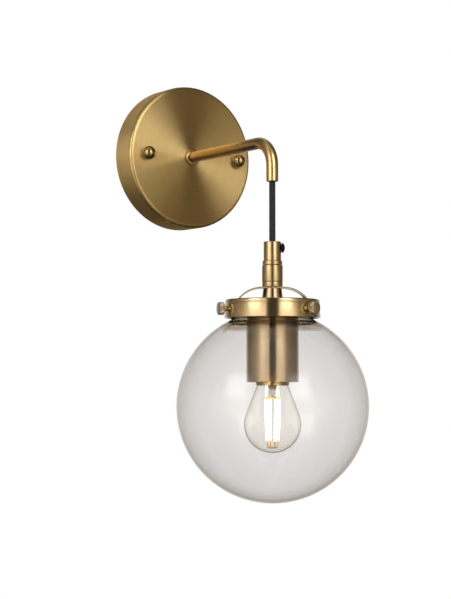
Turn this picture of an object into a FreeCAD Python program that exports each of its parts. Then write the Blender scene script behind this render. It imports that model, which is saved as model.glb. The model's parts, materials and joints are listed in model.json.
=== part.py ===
"""Globe wall sconce: a round brass canopy, a bent tube arm, a short fabric cord and a clear glass globe.

Millimetres. The origin is the centre of the canopy on the wall plane. +Z is up, the wall is the
plane y = 0 and the light stands out from it along -Y. The lamp hangs on a vertical axis, the
pendant axis, at x = 0, y = -REACH. Heights below are z values, so what hangs lower is more negative.
"""

import FreeCAD
import Part

import math
import os

from FreeCAD import Vector

# ---------------------------------------------------------------- clearances
RUNNING_GAP = 0.05      # radial play of a screw or nipple that turns in its hole
BODY_GAP = 0.3          # space between pieces that move apart
SEAT_GAP = 0.5          # loose fit between fixed pieces that slip over each other

# ---------------------------------------------------------------- canopy and wall bracket
CANOPY_DIAMETER = 120.0
CANOPY_DEPTH = 24.0
CANOPY_WALL = 1.2
CANOPY_EDGE_RADIUS = 3.0
STUD_INSET = 15.0           # from the canopy's edge to each stud
STUD_SPACING = CANOPY_DIAMETER - 2 * STUD_INSET
STUD_DIAMETER = 4.0
STUD_HEAD_DIAMETER = 7.5
STUD_HEAD_HEIGHT = 2.4
STUD_NUT_WIDTH = 7.0
STUD_NUT_HEIGHT = 3.2
BALL_NUT_DIAMETER = 11.2
BALL_NUT_BASE_DIAMETER = 8.0
BALL_NUT_STANDOFF = 1.0     # height of the collar under the ball
BALL_NUT_GRIP = 5.5         # how far a stud reaches into its ball nut

BRACKET_WIDTH = 20.0
BRACKET_THICKNESS = 2.0
BRACKET_STEP = 4.0          # how far the two ends stand off the wall
BRACKET_STEP_INSET = 9.0    # from each stud in to the bend
BRACKET_END = 8.0           # metal past each stud
BRACKET_FLAT = STUD_SPACING - 2 * BRACKET_STEP_INSET    # length of the middle that lies on the wall
SLOT_SPACING = 50.0
SLOT_WIDTH = 4.5
SLOT_LENGTH = 14.0
CABLE_HOLE_DIAMETER = 12.0
TAB_WIDTH = 30.0            # tab that carries the terminal block
TAB_DROP = 22.0

BLOCK_SIZE = (26.0, 12.0, 15.0)     # terminal block: across, out from the wall, height
BLOCK_DROP = 3.5                    # from the bracket's lower edge to the block
BLOCK_POLES = 3
POLE_PITCH = 8.0
WIRE_HOLE_DIAMETER = 3.2
POLE_SCREW_DIAMETER = 3.4
BLOCK_GROOVE = 1.0
WIRE_HOLE_DEPTH = 5.0
POLE_WELL_DEPTH = 4.0
POLE_SCREW_LENGTH = 2.8
DRIVER_SLOT = 0.8
EARTH_SCREW_OFFSET = 12.0
EARTH_HEAD_DIAMETER = 7.0
EARTH_HEAD_HEIGHT = 2.6

# ---------------------------------------------------------------- arm
REACH = 141.0               # wall to pendant axis
ARM_DIAMETER = 9.5
ARM_BORE = 7.5
ARM_BEND_RADIUS = 20.0
ARM_MOUTH = -32.4           # height of the open lower end
ARM_STUB = 6.8              # threaded end inside the canopy
COLLAR_DIAMETER = 14.0
COLLAR_HEIGHT = 3.0
WASHER_DIAMETER = 17.0
WASHER_THICKNESS = 1.0
ARM_NUT_WIDTH = 14.0
ARM_NUT_HEIGHT = 3.5
BUSH_BORE = 6.4
BUSH_LENGTH = 11.0
BUSH_FLARE = 0.5            # the bush opens by this much at its mouth

# ---------------------------------------------------------------- cord
CORD_DIAMETER = 5.0
CORD_DROP = 48.0            # free length between the arm and the cord grip
CORD_BACK_BEND = 10.0       # radius of the cord behind the canopy

# ---------------------------------------------------------------- cord grip, coupling, lock ring
GRIP_DIAMETER = 13.8
GRIP_FLANGE_DIAMETER = 15.6
GRIP_FLANGE_HEIGHT = 3.0
GRIP_LENGTH = 17.8
GRIP_LEAD_IN = 0.5          # the cord's own end sits this far inside the grip's rim
GRIP_MOUTH_DIAMETER = 7.8
GRIP_THROAT_DIAMETER = 6.8
GRIP_BORE_DIAMETER = 5.4
GRIP_COUNTERBORE = 9.1      # depth of the hole for the nipple, from below
COUPLING_DIAMETER = 16.4
COUPLING_LENGTH = 12.9
LOCK_RING_DIAMETER = 16.2
LOCK_RING_HEIGHT = 4.1
GROOVE = 0.4                # shadow gap between the turned pieces
EDGE_BREAK = 0.5            # chamfer on the turned edges
GRIP_SCREW_DIAMETER = 3.4
GRIP_SCREW_HEAD_DIAMETER = 7.4
GRIP_SCREW_HEAD_HEIGHT = 2.7
GRIP_SCREW_DROP = 4.3       # screw axis below the end of the swinging cord
GRIP_SCREW_AZIMUTH = 60.0   # azimuths run from -Y towards +X
NIPPLE_DIAMETER = 10.0
NIPPLE_BORE = 7.0
NIPPLE_LENGTH = 37.0
CORD_END_IN_NIPPLE = 1.6    # how far the sheathed cord reaches below the grip

# ---------------------------------------------------------------- bridge, gallery and its screws
BRIDGE_THICKNESS = 1.2
BRIDGE_WIDTH = 13.0
BRIDGE_PAD = 16.6           # flat middle, clamped under the lock ring
BRIDGE_RADIUS = 24.0        # outer radius of the bends beside the flat middle
BRIDGE_FOOT_DROP = 11.2     # from the top of the arch to the top of its flat feet
BRIDGE_AZIMUTH = 59.0
GALLERY_DIAMETER = 75.2     # at the lower edge
GALLERY_TAPER = 0.7         # the upper edge is smaller by this much in radius
GALLERY_HEIGHT = 14.5
GALLERY_WALL = 1.9
GALLERY_EDGE_RADIUS = 1.4
GALLERY_TOP_DROP = 9.9      # from the top of the arch to the top of the gallery
GALLERY_BEAD_DROP = 2.9
GALLERY_BEAD_DEPTH = 0.35
THUMB_AZIMUTHS = (13.6, -106.4, 133.6)
THUMB_DROP = 7.5            # screw axis below the gallery's upper edge
THUMB_THREAD = 4.0
THUMB_TIP = 2.0
THUMB_TIP_TAPER = 1.2
THUMB_TIP_GAP = 0.5         # between the tips and the neck of the globe
THUMB_HEAD_DIAMETER = 10.0
THUMB_HEAD_THICKNESS = 4.5
THUMB_HEAD_STANDOFF = 4.7   # from the gallery to the middle of the head
THUMB_NECK_DIAMETER = 6.4
THUMB_NECK_LENGTH = 1.6
THUMB_FLUTES = 22
THUMB_FLUTE_DEPTH = 0.45

# ---------------------------------------------------------------- globe
GLOBE_DIAMETER = 150.0
GLOBE_GLASS = 2.0
NECK_INSET = 6.6            # from the gallery's outside to the outside of the neck
NECK_LENGTH = 9.7           # from the lip to the fillet
NECK_FILLET = 4.0
LIP_TOP_GAP = 0.4           # lip to the bridge's feet
LIP_FLARE = 3.0             # height and overhang of the flared part
LIP_EDGE = 1.4              # thickness of the lip's edge
GLOBE_GORES = 8             # the globe's solid is kept in this many slices round
GLOBE_CUTS = (-49.0, -29.0, 29.0)   # and cut across at these angles above its middle

# ---------------------------------------------------------------- lampholder
CUP_DIAMETER = 41.0
CUP_WALL = 1.0
CUP_BOTTOM = -190.2
CUP_NECK_TOP_DIAMETER = 14.4
CUP_NECK_DIAMETER = 16.6
CUP_NECK_LENGTH = 7.6
CUP_SHOULDER_LENGTH = 12.0
CUP_RIM_ROLL = 0.8
HOLDER_DIAMETER = 36.0
HOLDER_CAP_LENGTH = 30.0    # from its top face to the seam with the body
HOLDER_CAP_WALL = 3.0
HOLDER_BOSS_DIAMETER = 12.0
HOLDER_BASE_THICKNESS = 8.0
HOLDER_SKIRT_GAP = 3.2      # the insulating body stops this far above the cup's rim
SHELL_BORE = 27.2
SHELL_WALL = 0.7
SHELL_TOP_GAP = 2.0         # shell to the insulating base
TERMINAL_PITCH = 22.0
TERMINAL_DIAMETER = 4.0
TERMINAL_HEIGHT = 5.0
LEAD_DIAMETER = 2.0
LEAD_PITCH = 2.4
LEAD_BEND_LENGTH = 3.0      # of each core, before and after it turns outwards
CONTACT_POST_DIAMETER = 3.0

# ---------------------------------------------------------------- bulb
BULB_CAP_DIAMETER = 26.2
BULB_CAP_LENGTH = 25.4
BULB_CAP_WALL = 0.6
BULB_CAP_SHOWS = 2.2        # cap below the cup's rim
BULB_CAP_SHOULDER = 2.0
BULB_INSULATOR_HEIGHT = 3.6
BULB_CONTACT_DIAMETER = 9.0
BULB_CONTACT_HEIGHT = 1.2
BULB_DIAMETER = 45.0
BULB_TIP = -245.1
BULB_GLASS = 0.9
BULB_NECK_DIAMETER = 24.0
BULB_TAPER_OVERLAP = 0.8    # how far the glass tapers on inside the cap
BULB_GLASS_OVERLAP = 6.0    # how far the glass reaches into the cap
STEM_OVERLAP = 5.0          # and the stem's flare, sealed inside it
STEM_NARROW_DROP = 3.0      # where the flare has narrowed to the rod, below the cap
STEM_DIAMETER = 5.0
STEM_FLARE_HEIGHT = 1.0
STEM_END = -200.6
FILAMENT_COUNT = 4
FILAMENT_DIAMETER = 1.7
FILAMENT_TOP = -202.5
FILAMENT_BOTTOM = -236.0
FILAMENT_TOP_CIRCLE = 9.0
FILAMENT_BOTTOM_CIRCLE = 13.5
FILAMENT_FIRST_AZIMUTH = -12.0
WIRE_DIAMETER = 0.9
WIRE_HUB_DIAMETER = 4.0
WIRE_HUB_HEIGHT = 1.2
WIRE_RING_DIAMETER = 4.0
WIRE_RING_HEIGHT = -240.8   # where the filaments' lower wires meet

# ---------------------------------------------------------------- heights that follow
CORD_TOP = ARM_MOUTH
CORD_BOTTOM = CORD_TOP - CORD_DROP
GRIP_TOP = CORD_BOTTOM + GRIP_LEAD_IN
GRIP_BOTTOM = GRIP_TOP - GRIP_LENGTH - GRIP_LEAD_IN
INNER_CORD_TOP = CORD_BOTTOM - CORD_DIAMETER / 2 - 2 * BODY_GAP
NIPPLE_TOP = GRIP_BOTTOM + GRIP_COUNTERBORE - BODY_GAP
NIPPLE_BOTTOM = NIPPLE_TOP - NIPPLE_LENGTH
COUPLING_TOP = GRIP_BOTTOM - BODY_GAP
COUPLING_BOTTOM = COUPLING_TOP - COUPLING_LENGTH
LOCK_RING_BOTTOM = COUPLING_BOTTOM - LOCK_RING_HEIGHT
BRIDGE_TOP = LOCK_RING_BOTTOM
BRIDGE_UNDERSIDE = BRIDGE_TOP - BRIDGE_THICKNESS
FOOT_TOP = BRIDGE_TOP - BRIDGE_FOOT_DROP
FOOT_UNDERSIDE = FOOT_TOP - BRIDGE_THICKNESS
LIP_TOP = FOOT_UNDERSIDE - LIP_TOP_GAP
NECK_DIAMETER = GALLERY_DIAMETER - 2 * NECK_INSET
LIP_DIAMETER = NECK_DIAMETER + 2 * LIP_FLARE
NECK_BOTTOM = LIP_TOP - NECK_LENGTH
GLOBE_CENTRE = NECK_BOTTOM - math.sqrt((GLOBE_DIAMETER / 2 + NECK_FILLET) ** 2 - (NECK_DIAMETER / 2 + NECK_FILLET) ** 2)
THUMB_TIP_RADIUS = NECK_DIAMETER / 2 + THUMB_TIP_GAP
THUMB_HEAD_RADIUS = GALLERY_DIAMETER / 2 + THUMB_HEAD_STANDOFF
GALLERY_TOP = BRIDGE_TOP - GALLERY_TOP_DROP
GALLERY_BOTTOM = GALLERY_TOP - GALLERY_HEIGHT
THUMB_HEIGHT = GALLERY_TOP - THUMB_DROP
CUP_TOP = BRIDGE_UNDERSIDE
HOLDER_TOP = CUP_TOP - CUP_WALL
HOLDER_SEAM = HOLDER_TOP - HOLDER_CAP_LENGTH
HOLDER_BASE_BOTTOM = HOLDER_SEAM - HOLDER_BASE_THICKNESS
HOLDER_BOTTOM = CUP_BOTTOM + HOLDER_SKIRT_GAP
BULB_CAP_BOTTOM = CUP_BOTTOM - BULB_CAP_SHOWS
BULB_CAP_TOP = BULB_CAP_BOTTOM + BULB_CAP_LENGTH
BULB_TOP = BULB_CAP_TOP + BULB_INSULATOR_HEIGHT + BULB_CONTACT_HEIGHT
BULB_CENTRE = BULB_TIP + BULB_DIAMETER / 2
PENDANT = Vector(0, -REACH, 0)


# ---------------------------------------------------------------- shape helpers
def profile(start, *steps):
    """A closed face in the XZ plane. A step is a point, or (middle, end) for an arc."""
    edges = []
    here = start
    for step in steps + (start,):
        arc = isinstance(step[0], tuple)
        end = step[1] if arc else step
        a, b = Vector(here[0], 0, here[1]), Vector(end[0], 0, end[1])
        if arc:
            middle = Vector(step[0][0], 0, step[0][1])
            edges.append(Part.Arc(a, middle, b).toShape())
        elif a.distanceToPoint(b) > 1e-7:
            edges.append(Part.LineSegment(a, b).toShape())
        here = end
    return Part.Face(Part.Wire(edges))


def turned(start, *steps):
    """A profile of (radius, height) points turned about the Z axis."""
    return profile(start, *steps).revolve(Vector(0, 0, 0), Vector(0, 0, 1), 360)


def arc_middle(centre, radius, degrees):
    angle = math.radians(degrees)
    return (centre[0] + radius * math.cos(angle), centre[1] + radius * math.sin(angle))


def dome(radius, edge, top):
    """Arc of a cap from its edge height up to a point on the axis."""
    rise = top - edge
    ball = (radius ** 2 + rise ** 2) / (2 * rise)
    angle = math.degrees(math.atan2(top - ball - edge, -radius)) % 360 - 180
    return arc_middle((0, top - ball), ball, (90 + angle) / 2), (0, top)


def rod(diameter, bottom, top, x=0.0, y=0.0):
    return Part.makeCylinder(diameter / 2, top - bottom, Vector(x, y, bottom), Vector(0, 0, 1))


def ring(outer, inner, bottom, top):
    return rod(outer, bottom, top).cut(rod(inner, bottom, top))


def block(x, y, z, length, width, height):
    return Part.makeBox(length, width, height, Vector(x, y, z))


def driver_slot(diameter, top, x=0.0):
    return block(x - diameter, -DRIVER_SLOT / 2, top - DRIVER_SLOT, 2 * diameter, DRIVER_SLOT, DRIVER_SLOT)


def hexagon(width, bottom, height, bore):
    corner = width / math.sqrt(3)
    points = [Vector(corner * math.cos(math.radians(a)), corner * math.sin(math.radians(a)), bottom)
              for a in range(0, 361, 60)]
    nut = Part.Face(Part.makePolygon(points)).extrude(Vector(0, 0, height))
    bevel_radius = width / 2 + 0.2
    slope = (corner - bevel_radius) * 0.55
    bevel = turned((0, bottom), (bevel_radius, bottom), (corner + 0.1, bottom + slope),
                   (corner + 0.1, bottom + height - slope), (bevel_radius, bottom + height), (0, bottom + height))
    return nut.common(bevel).cut(rod(bore, bottom, bottom + height))


def from_wall(shape, x=0.0, z=0.0):
    """Turns a piece built along +Z so that it stands out from the wall along -Y."""
    placed = shape.copy()
    placed.rotate(Vector(0, 0, 0), Vector(1, 0, 0), 90)
    placed.translate(Vector(x, 0, z))
    return placed


def on_pendant(shape):
    placed = shape.copy()
    placed.translate(PENDANT)
    return placed


def radial(shape, azimuth, height):
    """Turns a piece built along +Z to point away from the pendant axis at an azimuth."""
    placed = from_wall(shape)
    placed.rotate(Vector(0, 0, 0), Vector(0, 0, 1), azimuth)
    placed.translate(PENDANT + Vector(0, 0, height))
    return placed


def fuse_all(shapes):
    whole = shapes[0]
    for shape in shapes[1:]:
        whole = whole.fuse(shape)
    return whole.removeSplitter()


def keep(name, shape):
    """Writes one node, as one solid or a group of separate solids."""
    solids = shape.Solids
    whole = solids[0] if len(solids) == 1 else Part.makeCompound(solids)
    if not whole.isValid():
        raise ValueError(name + " is not a valid solid")
    whole.exportStep("parts/" + name + ".step")


# ---------------------------------------------------------------- wall bracket and what is on it
def slot_cutter(x):
    half = (SLOT_LENGTH - SLOT_WIDTH) / 2
    depth = BRACKET_THICKNESS
    middle = block(-half, -SLOT_WIDTH / 2, 0, 2 * half, SLOT_WIDTH, depth)
    ends = [rod(SLOT_WIDTH, 0, depth, x=side * half) for side in (-1, 1)]
    return from_wall(fuse_all([middle] + ends), x=x)


def wall_bracket():
    """A pressed strip: its middle lies on the wall, its ends step forward for the stud heads."""
    half_flat = BRACKET_FLAT / 2
    half_length = STUD_SPACING / 2 + BRACKET_END
    step, thick = BRACKET_STEP, BRACKET_THICKNESS
    ramp = step
    outline = [(-half_length, step), (-half_flat - ramp, step), (-half_flat, 0), (half_flat, 0),
               (half_flat + ramp, step), (half_length, step), (half_length, step + thick),
               (half_flat + ramp - thick * 0.41, step + thick), (half_flat - thick * 0.41, thick),
               (-half_flat + thick * 0.41, thick), (-half_flat - ramp + thick * 0.41, step + thick),
               (-half_length, step + thick)]
    points = [Vector(x, -out, -BRACKET_WIDTH / 2) for x, out in outline]
    strip = Part.Face(Part.makePolygon(points + points[:1])).extrude(Vector(0, 0, BRACKET_WIDTH))
    tab = block(-TAB_WIDTH / 2, -thick, -BRACKET_WIDTH / 2 - TAB_DROP, TAB_WIDTH, thick, TAB_DROP + thick)
    bracket = fuse_all([strip, tab])
    for side in (-1, 1):
        bracket = bracket.cut(slot_cutter(side * SLOT_SPACING / 2))
        hole = rod(STUD_DIAMETER, step, step + thick)
        bracket = bracket.cut(from_wall(hole, x=side * STUD_SPACING / 2))
    bracket = bracket.cut(from_wall(rod(CABLE_HOLE_DIAMETER, 0, thick)))
    bracket = bracket.cut(from_wall(rod(STUD_DIAMETER, 0, thick), x=EARTH_SCREW_OFFSET))
    return bracket


def stud():
    """A pan-head screw pushed through the bracket from behind."""
    head_top = BRACKET_STEP
    head = turned((0, head_top), (STUD_HEAD_DIAMETER / 2, head_top),
                  (STUD_HEAD_DIAMETER / 2, head_top - STUD_HEAD_HEIGHT / 2),
                  (STUD_HEAD_DIAMETER / 2 - 1, head_top - STUD_HEAD_HEIGHT), (0, head_top - STUD_HEAD_HEIGHT))
    end = CANOPY_DEPTH + BALL_NUT_GRIP
    shank = turned((0, head_top), (STUD_DIAMETER / 2, head_top), (STUD_DIAMETER / 2, end - EDGE_BREAK),
                   (STUD_DIAMETER / 2 - EDGE_BREAK, end), (0, end))
    return fuse_all([head, shank])


def ball_nut():
    ball_radius = BALL_NUT_DIAMETER / 2
    base = BALL_NUT_BASE_DIAMETER / 2
    foot = CANOPY_DEPTH
    collar = foot + BALL_NUT_STANDOFF
    centre = collar + math.sqrt(ball_radius ** 2 - base ** 2)
    top = centre + ball_radius
    shape = turned((0, foot), (base, foot), (base, collar), ((ball_radius, centre), (0, top)))
    return shape.cut(rod(STUD_DIAMETER, foot, foot + BALL_NUT_GRIP))


def canopy():
    """A spun cup, open towards the wall, with holes for the arm and the two studs."""
    outer, depth, edge = CANOPY_DIAMETER / 2, CANOPY_DEPTH, CANOPY_EDGE_RADIUS
    wall = CANOPY_WALL
    centre = (outer - edge, depth - edge)
    shell = turned((outer - wall, 0), (outer, 0), (outer, depth - edge),
                   (arc_middle(centre, edge, 45), (outer - edge, depth)), (0, depth), (0, depth - wall),
                   (outer - edge, depth - wall),
                   (arc_middle(centre, edge - wall, 45), (outer - wall, depth - edge)))
    shell = shell.cut(rod(ARM_DIAMETER, depth - wall, depth))
    for side in (-1, 1):
        hole = rod(STUD_DIAMETER + 2 * SEAT_GAP, depth - wall, depth, x=side * STUD_SPACING / 2)
        shell = shell.cut(hole)
    return shell


def terminal_block():
    """A moulded connector block, grooved between its poles, with wire holes and two screws to a pole."""
    length, out, height = BLOCK_SIZE
    top = -BRACKET_WIDTH / 2 - BLOCK_DROP
    front = BRACKET_THICKNESS + out
    body = block(-length / 2, -front, top - height, length, out, height)
    for gap in range(BLOCK_POLES - 1):
        x = (gap - (BLOCK_POLES - 2) / 2) * POLE_PITCH
        body = body.cut(block(x - BLOCK_GROOVE / 2, -front, top - height, BLOCK_GROOVE, BLOCK_GROOVE, height))
    screws = []
    for pole in range(BLOCK_POLES):
        x = (pole - (BLOCK_POLES - 1) / 2) * POLE_PITCH
        wire_hole = rod(WIRE_HOLE_DIAMETER, top - height, top - height + WIRE_HOLE_DEPTH, x=x, y=-front + out / 2)
        body = body.cut(wire_hole)
        for share in (0.25, 0.75):
            z = top - height * share
            body = body.cut(from_wall(rod(POLE_SCREW_DIAMETER, front - POLE_WELL_DEPTH, front), x=x, z=z))
            screw_top = front - POLE_WELL_DEPTH + POLE_SCREW_LENGTH
            screw = rod(POLE_SCREW_DIAMETER, front - POLE_WELL_DEPTH, screw_top)
            screw = screw.cut(driver_slot(POLE_SCREW_DIAMETER, screw_top))
            screws.append(from_wall(screw, x=x, z=z))
    return body, Part.makeCompound(screws)


def earth_screw():
    front = BRACKET_THICKNESS
    radius, height = EARTH_HEAD_DIAMETER / 2, EARTH_HEAD_HEIGHT
    head = turned((0, front), (radius, front), (radius, front + height / 2), (radius - 1, front + height),
                  (0, front + height))
    head = head.cut(driver_slot(EARTH_HEAD_DIAMETER, front + height))
    shank = rod(STUD_DIAMETER, 0, front)
    return from_wall(fuse_all([head, shank]), x=EARTH_SCREW_OFFSET)


# ---------------------------------------------------------------- arm and the cord it holds
def swept(path_edges, start, direction, diameter):
    circle = Part.Wire(Part.makeCircle(diameter / 2, start, direction))
    return Part.Wire(path_edges).makePipeShell([circle], True, False)


def arm_path(inner_end, lower_end):
    """Centreline from behind the canopy, out from the wall, round the bend and down."""
    bend = ARM_BEND_RADIUS
    start = Vector(0, -inner_end, 0)
    bend_start = Vector(0, -REACH + bend, 0)
    turn = bend * math.sqrt(0.5)
    bend_middle = Vector(0, -REACH + bend - turn, -bend + turn)
    bend_end = Vector(0, -REACH, -bend)
    end = Vector(0, -REACH, lower_end)
    return [Part.LineSegment(start, bend_start).toShape(), Part.Arc(bend_start, bend_middle, bend_end).toShape(),
            Part.LineSegment(bend_end, end).toShape()]


def arm_tube():
    inner_end = CANOPY_DEPTH - CANOPY_WALL - ARM_STUB
    start = Vector(0, -inner_end, 0)
    edges = arm_path(inner_end, ARM_MOUTH)
    out = Vector(0, -1, 0)
    return swept(edges, start, out, ARM_DIAMETER).cut(swept(edges, start, out, ARM_BORE))


def arm_collar():
    foot, top = CANOPY_DEPTH, CANOPY_DEPTH + COLLAR_HEIGHT
    radius, bore = COLLAR_DIAMETER / 2, ARM_DIAMETER / 2
    round_off = COLLAR_HEIGHT / 2
    middle = arc_middle((radius - round_off, top - round_off), round_off, 45)
    return turned((bore, foot), (radius, foot), (radius, top - round_off), (middle, (radius - round_off, top)),
                  (bore, top))


def cord_bush():
    """A liner pressed into the arm's mouth, flared so that the cord bends over it without an edge."""
    bore, flare = BUSH_BORE / 2, BUSH_FLARE
    return turned((bore, ARM_MOUTH + 2 * flare), (bore + flare, ARM_MOUTH), (ARM_BORE / 2, ARM_MOUTH),
                  (ARM_BORE / 2, ARM_MOUTH + BUSH_LENGTH), (bore, ARM_MOUTH + BUSH_LENGTH))


def cord_in_arm():
    """The cord from the terminal block, through the arm, to just above the place where it swings."""
    inner_end = CANOPY_DEPTH - CANOPY_WALL - ARM_STUB
    bend = CORD_BACK_BEND
    bend_start_y = -inner_end
    block_top = -BRACKET_WIDTH / 2 - BLOCK_DROP
    turn = bend * math.sqrt(0.5)
    start = Vector(0, bend_start_y + bend, block_top)
    edges = [Part.LineSegment(start, Vector(0, bend_start_y + bend, -bend)).toShape(),
             Part.Arc(Vector(0, bend_start_y + bend, -bend), Vector(0, bend_start_y + turn, -bend + turn),
                      Vector(0, bend_start_y, 0)).toShape()]
    edges += arm_path(-bend_start_y, CORD_TOP + CORD_DIAMETER / 2 + BODY_GAP)
    return swept(edges, start, Vector(0, 0, 1), CORD_DIAMETER)


def cord():
    """The free, taut cord. Its ends are round, so that it turns in the arm and in the grip."""
    radius = CORD_DIAMETER / 2
    return turned((0, CORD_BOTTOM - radius), (arc_middle((0, CORD_BOTTOM), radius, -45), (radius, CORD_BOTTOM)),
                  (radius, CORD_TOP), (arc_middle((0, CORD_TOP), radius, 45), (0, CORD_TOP + radius)))


# ---------------------------------------------------------------- cord grip to lock ring
def cord_grip():
    radius, flange = GRIP_DIAMETER / 2, GRIP_FLANGE_DIAMETER / 2
    flange_top = GRIP_BOTTOM + GRIP_FLANGE_HEIGHT
    throat_top = GRIP_TOP - (GRIP_MOUTH_DIAMETER - GRIP_THROAT_DIAMETER)
    counterbore_top = GRIP_BOTTOM + GRIP_COUNTERBORE
    counterbore = NIPPLE_DIAMETER / 2 + RUNNING_GAP
    body = turned((GRIP_MOUTH_DIAMETER / 2, GRIP_TOP), (radius - EDGE_BREAK, GRIP_TOP),
                  (radius, GRIP_TOP - EDGE_BREAK), (radius, flange_top + EDGE_BREAK), (flange, flange_top),
                  (flange, GRIP_BOTTOM + EDGE_BREAK / 2), (flange - EDGE_BREAK / 2, GRIP_BOTTOM),
                  (counterbore, GRIP_BOTTOM), (counterbore, counterbore_top), (GRIP_BORE_DIAMETER / 2, counterbore_top),
                  (GRIP_BORE_DIAMETER / 2, INNER_CORD_TOP), (GRIP_THROAT_DIAMETER / 2, INNER_CORD_TOP + 0.4),
                  (GRIP_THROAT_DIAMETER / 2, throat_top))
    hole = rod(GRIP_SCREW_DIAMETER + 2 * RUNNING_GAP, 0, radius + 1)
    return on_pendant(body).cut(radial(hole, GRIP_SCREW_AZIMUTH, CORD_BOTTOM - GRIP_SCREW_DROP))


def grip_screw():
    """A black domed screw that pinches the cord."""
    tip = CORD_DIAMETER / 2 + BODY_GAP
    seat = GRIP_DIAMETER / 2 + BODY_GAP
    shank, head = GRIP_SCREW_DIAMETER / 2, GRIP_SCREW_HEAD_DIAMETER / 2
    top = seat + GRIP_SCREW_HEAD_HEIGHT
    side_top = seat + GRIP_SCREW_HEAD_HEIGHT / 2
    body = turned((0, tip), (shank - EDGE_BREAK, tip), (shank, tip + EDGE_BREAK), (shank, seat), (head, seat),
                  (head, side_top), dome(head, side_top, top))
    return radial(body, GRIP_SCREW_AZIMUTH, CORD_BOTTOM - GRIP_SCREW_DROP)


def chamfered_collar(diameter, bore, bottom, top):
    radius, break_ = diameter / 2, GROOVE
    return turned((bore / 2, bottom), (radius - break_, bottom), (radius, bottom + break_), (radius, top - break_),
                  (radius - break_, top), (bore / 2, top))


def cord_in_grip():
    return rod(CORD_DIAMETER, GRIP_BOTTOM - CORD_END_IN_NIPPLE, INNER_CORD_TOP)


# ---------------------------------------------------------------- bridge, gallery, thumb screws
def bridge():
    """A strap bent to an arch, flat in the middle. Its flat feet are brazed to the gallery's inner wall."""
    outer, inner = BRIDGE_RADIUS, BRIDGE_RADIUS - BRIDGE_THICKNESS
    pad = BRIDGE_PAD / 2
    centre = (pad, BRIDGE_TOP - outer)
    foot_end = gallery_inner_radius(FOOT_TOP)
    out_angle = math.asin((FOOT_TOP - centre[1]) / outer)
    in_angle = math.asin((FOOT_UNDERSIDE - centre[1]) / inner)
    out_middle = arc_middle(centre, outer, (90 + math.degrees(out_angle)) / 2)
    in_middle = arc_middle(centre, inner, (90 + math.degrees(in_angle)) / 2)
    out_end = arc_middle(centre, outer, math.degrees(out_angle))
    in_end = arc_middle(centre, inner, math.degrees(in_angle))
    over = foot_end + BRIDGE_THICKNESS
    half = profile((0, BRIDGE_TOP), (pad, BRIDGE_TOP), (out_middle, out_end), (over, FOOT_TOP),
                   (over, FOOT_UNDERSIDE), in_end, (in_middle, (pad, BRIDGE_UNDERSIDE)), (0, BRIDGE_UNDERSIDE))
    leg = half.extrude(Vector(0, BRIDGE_WIDTH, 0))
    leg.translate(Vector(0, -BRIDGE_WIDTH / 2, 0))
    other = leg.copy()
    other.rotate(Vector(0, 0, 0), Vector(0, 0, 1), 180)
    strap = fuse_all([leg, other])
    strap = strap.common(rod(2 * foot_end, FOOT_UNDERSIDE - 1, BRIDGE_TOP + 1))
    strap = strap.cut(rod(NIPPLE_DIAMETER, BRIDGE_UNDERSIDE - 1, BRIDGE_TOP + 1))
    strap.rotate(Vector(0, 0, 0), Vector(0, 0, 1), BRIDGE_AZIMUTH - 90)
    return on_pendant(strap)


def gallery_inner_radius(height):
    share = (GALLERY_TOP - height) / GALLERY_HEIGHT
    return GALLERY_DIAMETER / 2 - GALLERY_TAPER * (1 - share) - GALLERY_WALL


def gallery_ring():
    top, bottom, edge = GALLERY_TOP, GALLERY_BOTTOM, GALLERY_EDGE_RADIUS
    low = GALLERY_DIAMETER / 2
    high = low - GALLERY_TAPER
    bead = top - GALLERY_BEAD_DROP
    bead_radius = high + GALLERY_TAPER * GALLERY_BEAD_DROP / GALLERY_HEIGHT
    centre = (high - edge, top - edge)
    body = turned((gallery_inner_radius(top), top), (high - edge, top),
                  (arc_middle(centre, edge, 45), (high, top - edge)),
                  (bead_radius - GALLERY_BEAD_DEPTH, bead + GALLERY_BEAD_DEPTH),
                  (bead_radius, bead - GALLERY_BEAD_DEPTH),
                  (low, bottom + EDGE_BREAK), (low - EDGE_BREAK, bottom), (gallery_inner_radius(bottom), bottom))
    body = on_pendant(body)
    for azimuth in THUMB_AZIMUTHS:
        hole = rod(THUMB_THREAD + 2 * RUNNING_GAP, gallery_inner_radius(top) - 3, low + 3)
        body = body.cut(radial(hole, azimuth, THUMB_HEIGHT))
    return body


def fluted_disc(radius, bottom, top):
    """A straight-knurled head: a fluted prism with its edges turned off."""
    points = []
    for index in range(2 * THUMB_FLUTES + 1):
        reach = radius if index % 2 == 0 else radius - THUMB_FLUTE_DEPTH
        angle = math.pi * index / THUMB_FLUTES
        points.append(Vector(reach * math.cos(angle), reach * math.sin(angle), bottom))
    prism = Part.Face(Part.makePolygon(points)).extrude(Vector(0, 0, top - bottom))
    soft = 0.8
    turned_blank = turned((0, bottom), (radius - soft, bottom), (radius, bottom + soft), (radius, top - soft),
                          (radius - soft, top), (0, top))
    return prism.common(turned_blank)


def thumb_screw(azimuth):
    head_bottom = THUMB_HEAD_RADIUS - THUMB_HEAD_THICKNESS / 2
    head_top = THUMB_HEAD_RADIUS + THUMB_HEAD_THICKNESS / 2
    neck_start = head_bottom - THUMB_NECK_LENGTH
    thread, tip, neck = THUMB_THREAD / 2, THUMB_TIP / 2, THUMB_NECK_DIAMETER / 2
    shank = turned((0, THUMB_TIP_RADIUS), (tip, THUMB_TIP_RADIUS), (thread, THUMB_TIP_RADIUS + THUMB_TIP_TAPER),
                   (thread, neck_start), (neck, head_bottom), (neck, head_bottom + 0.5), (0, head_bottom + 0.5))
    head = fluted_disc(THUMB_HEAD_DIAMETER / 2, head_bottom, head_top)
    return radial(fuse_all([shank, head]), azimuth, THUMB_HEIGHT)


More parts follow.
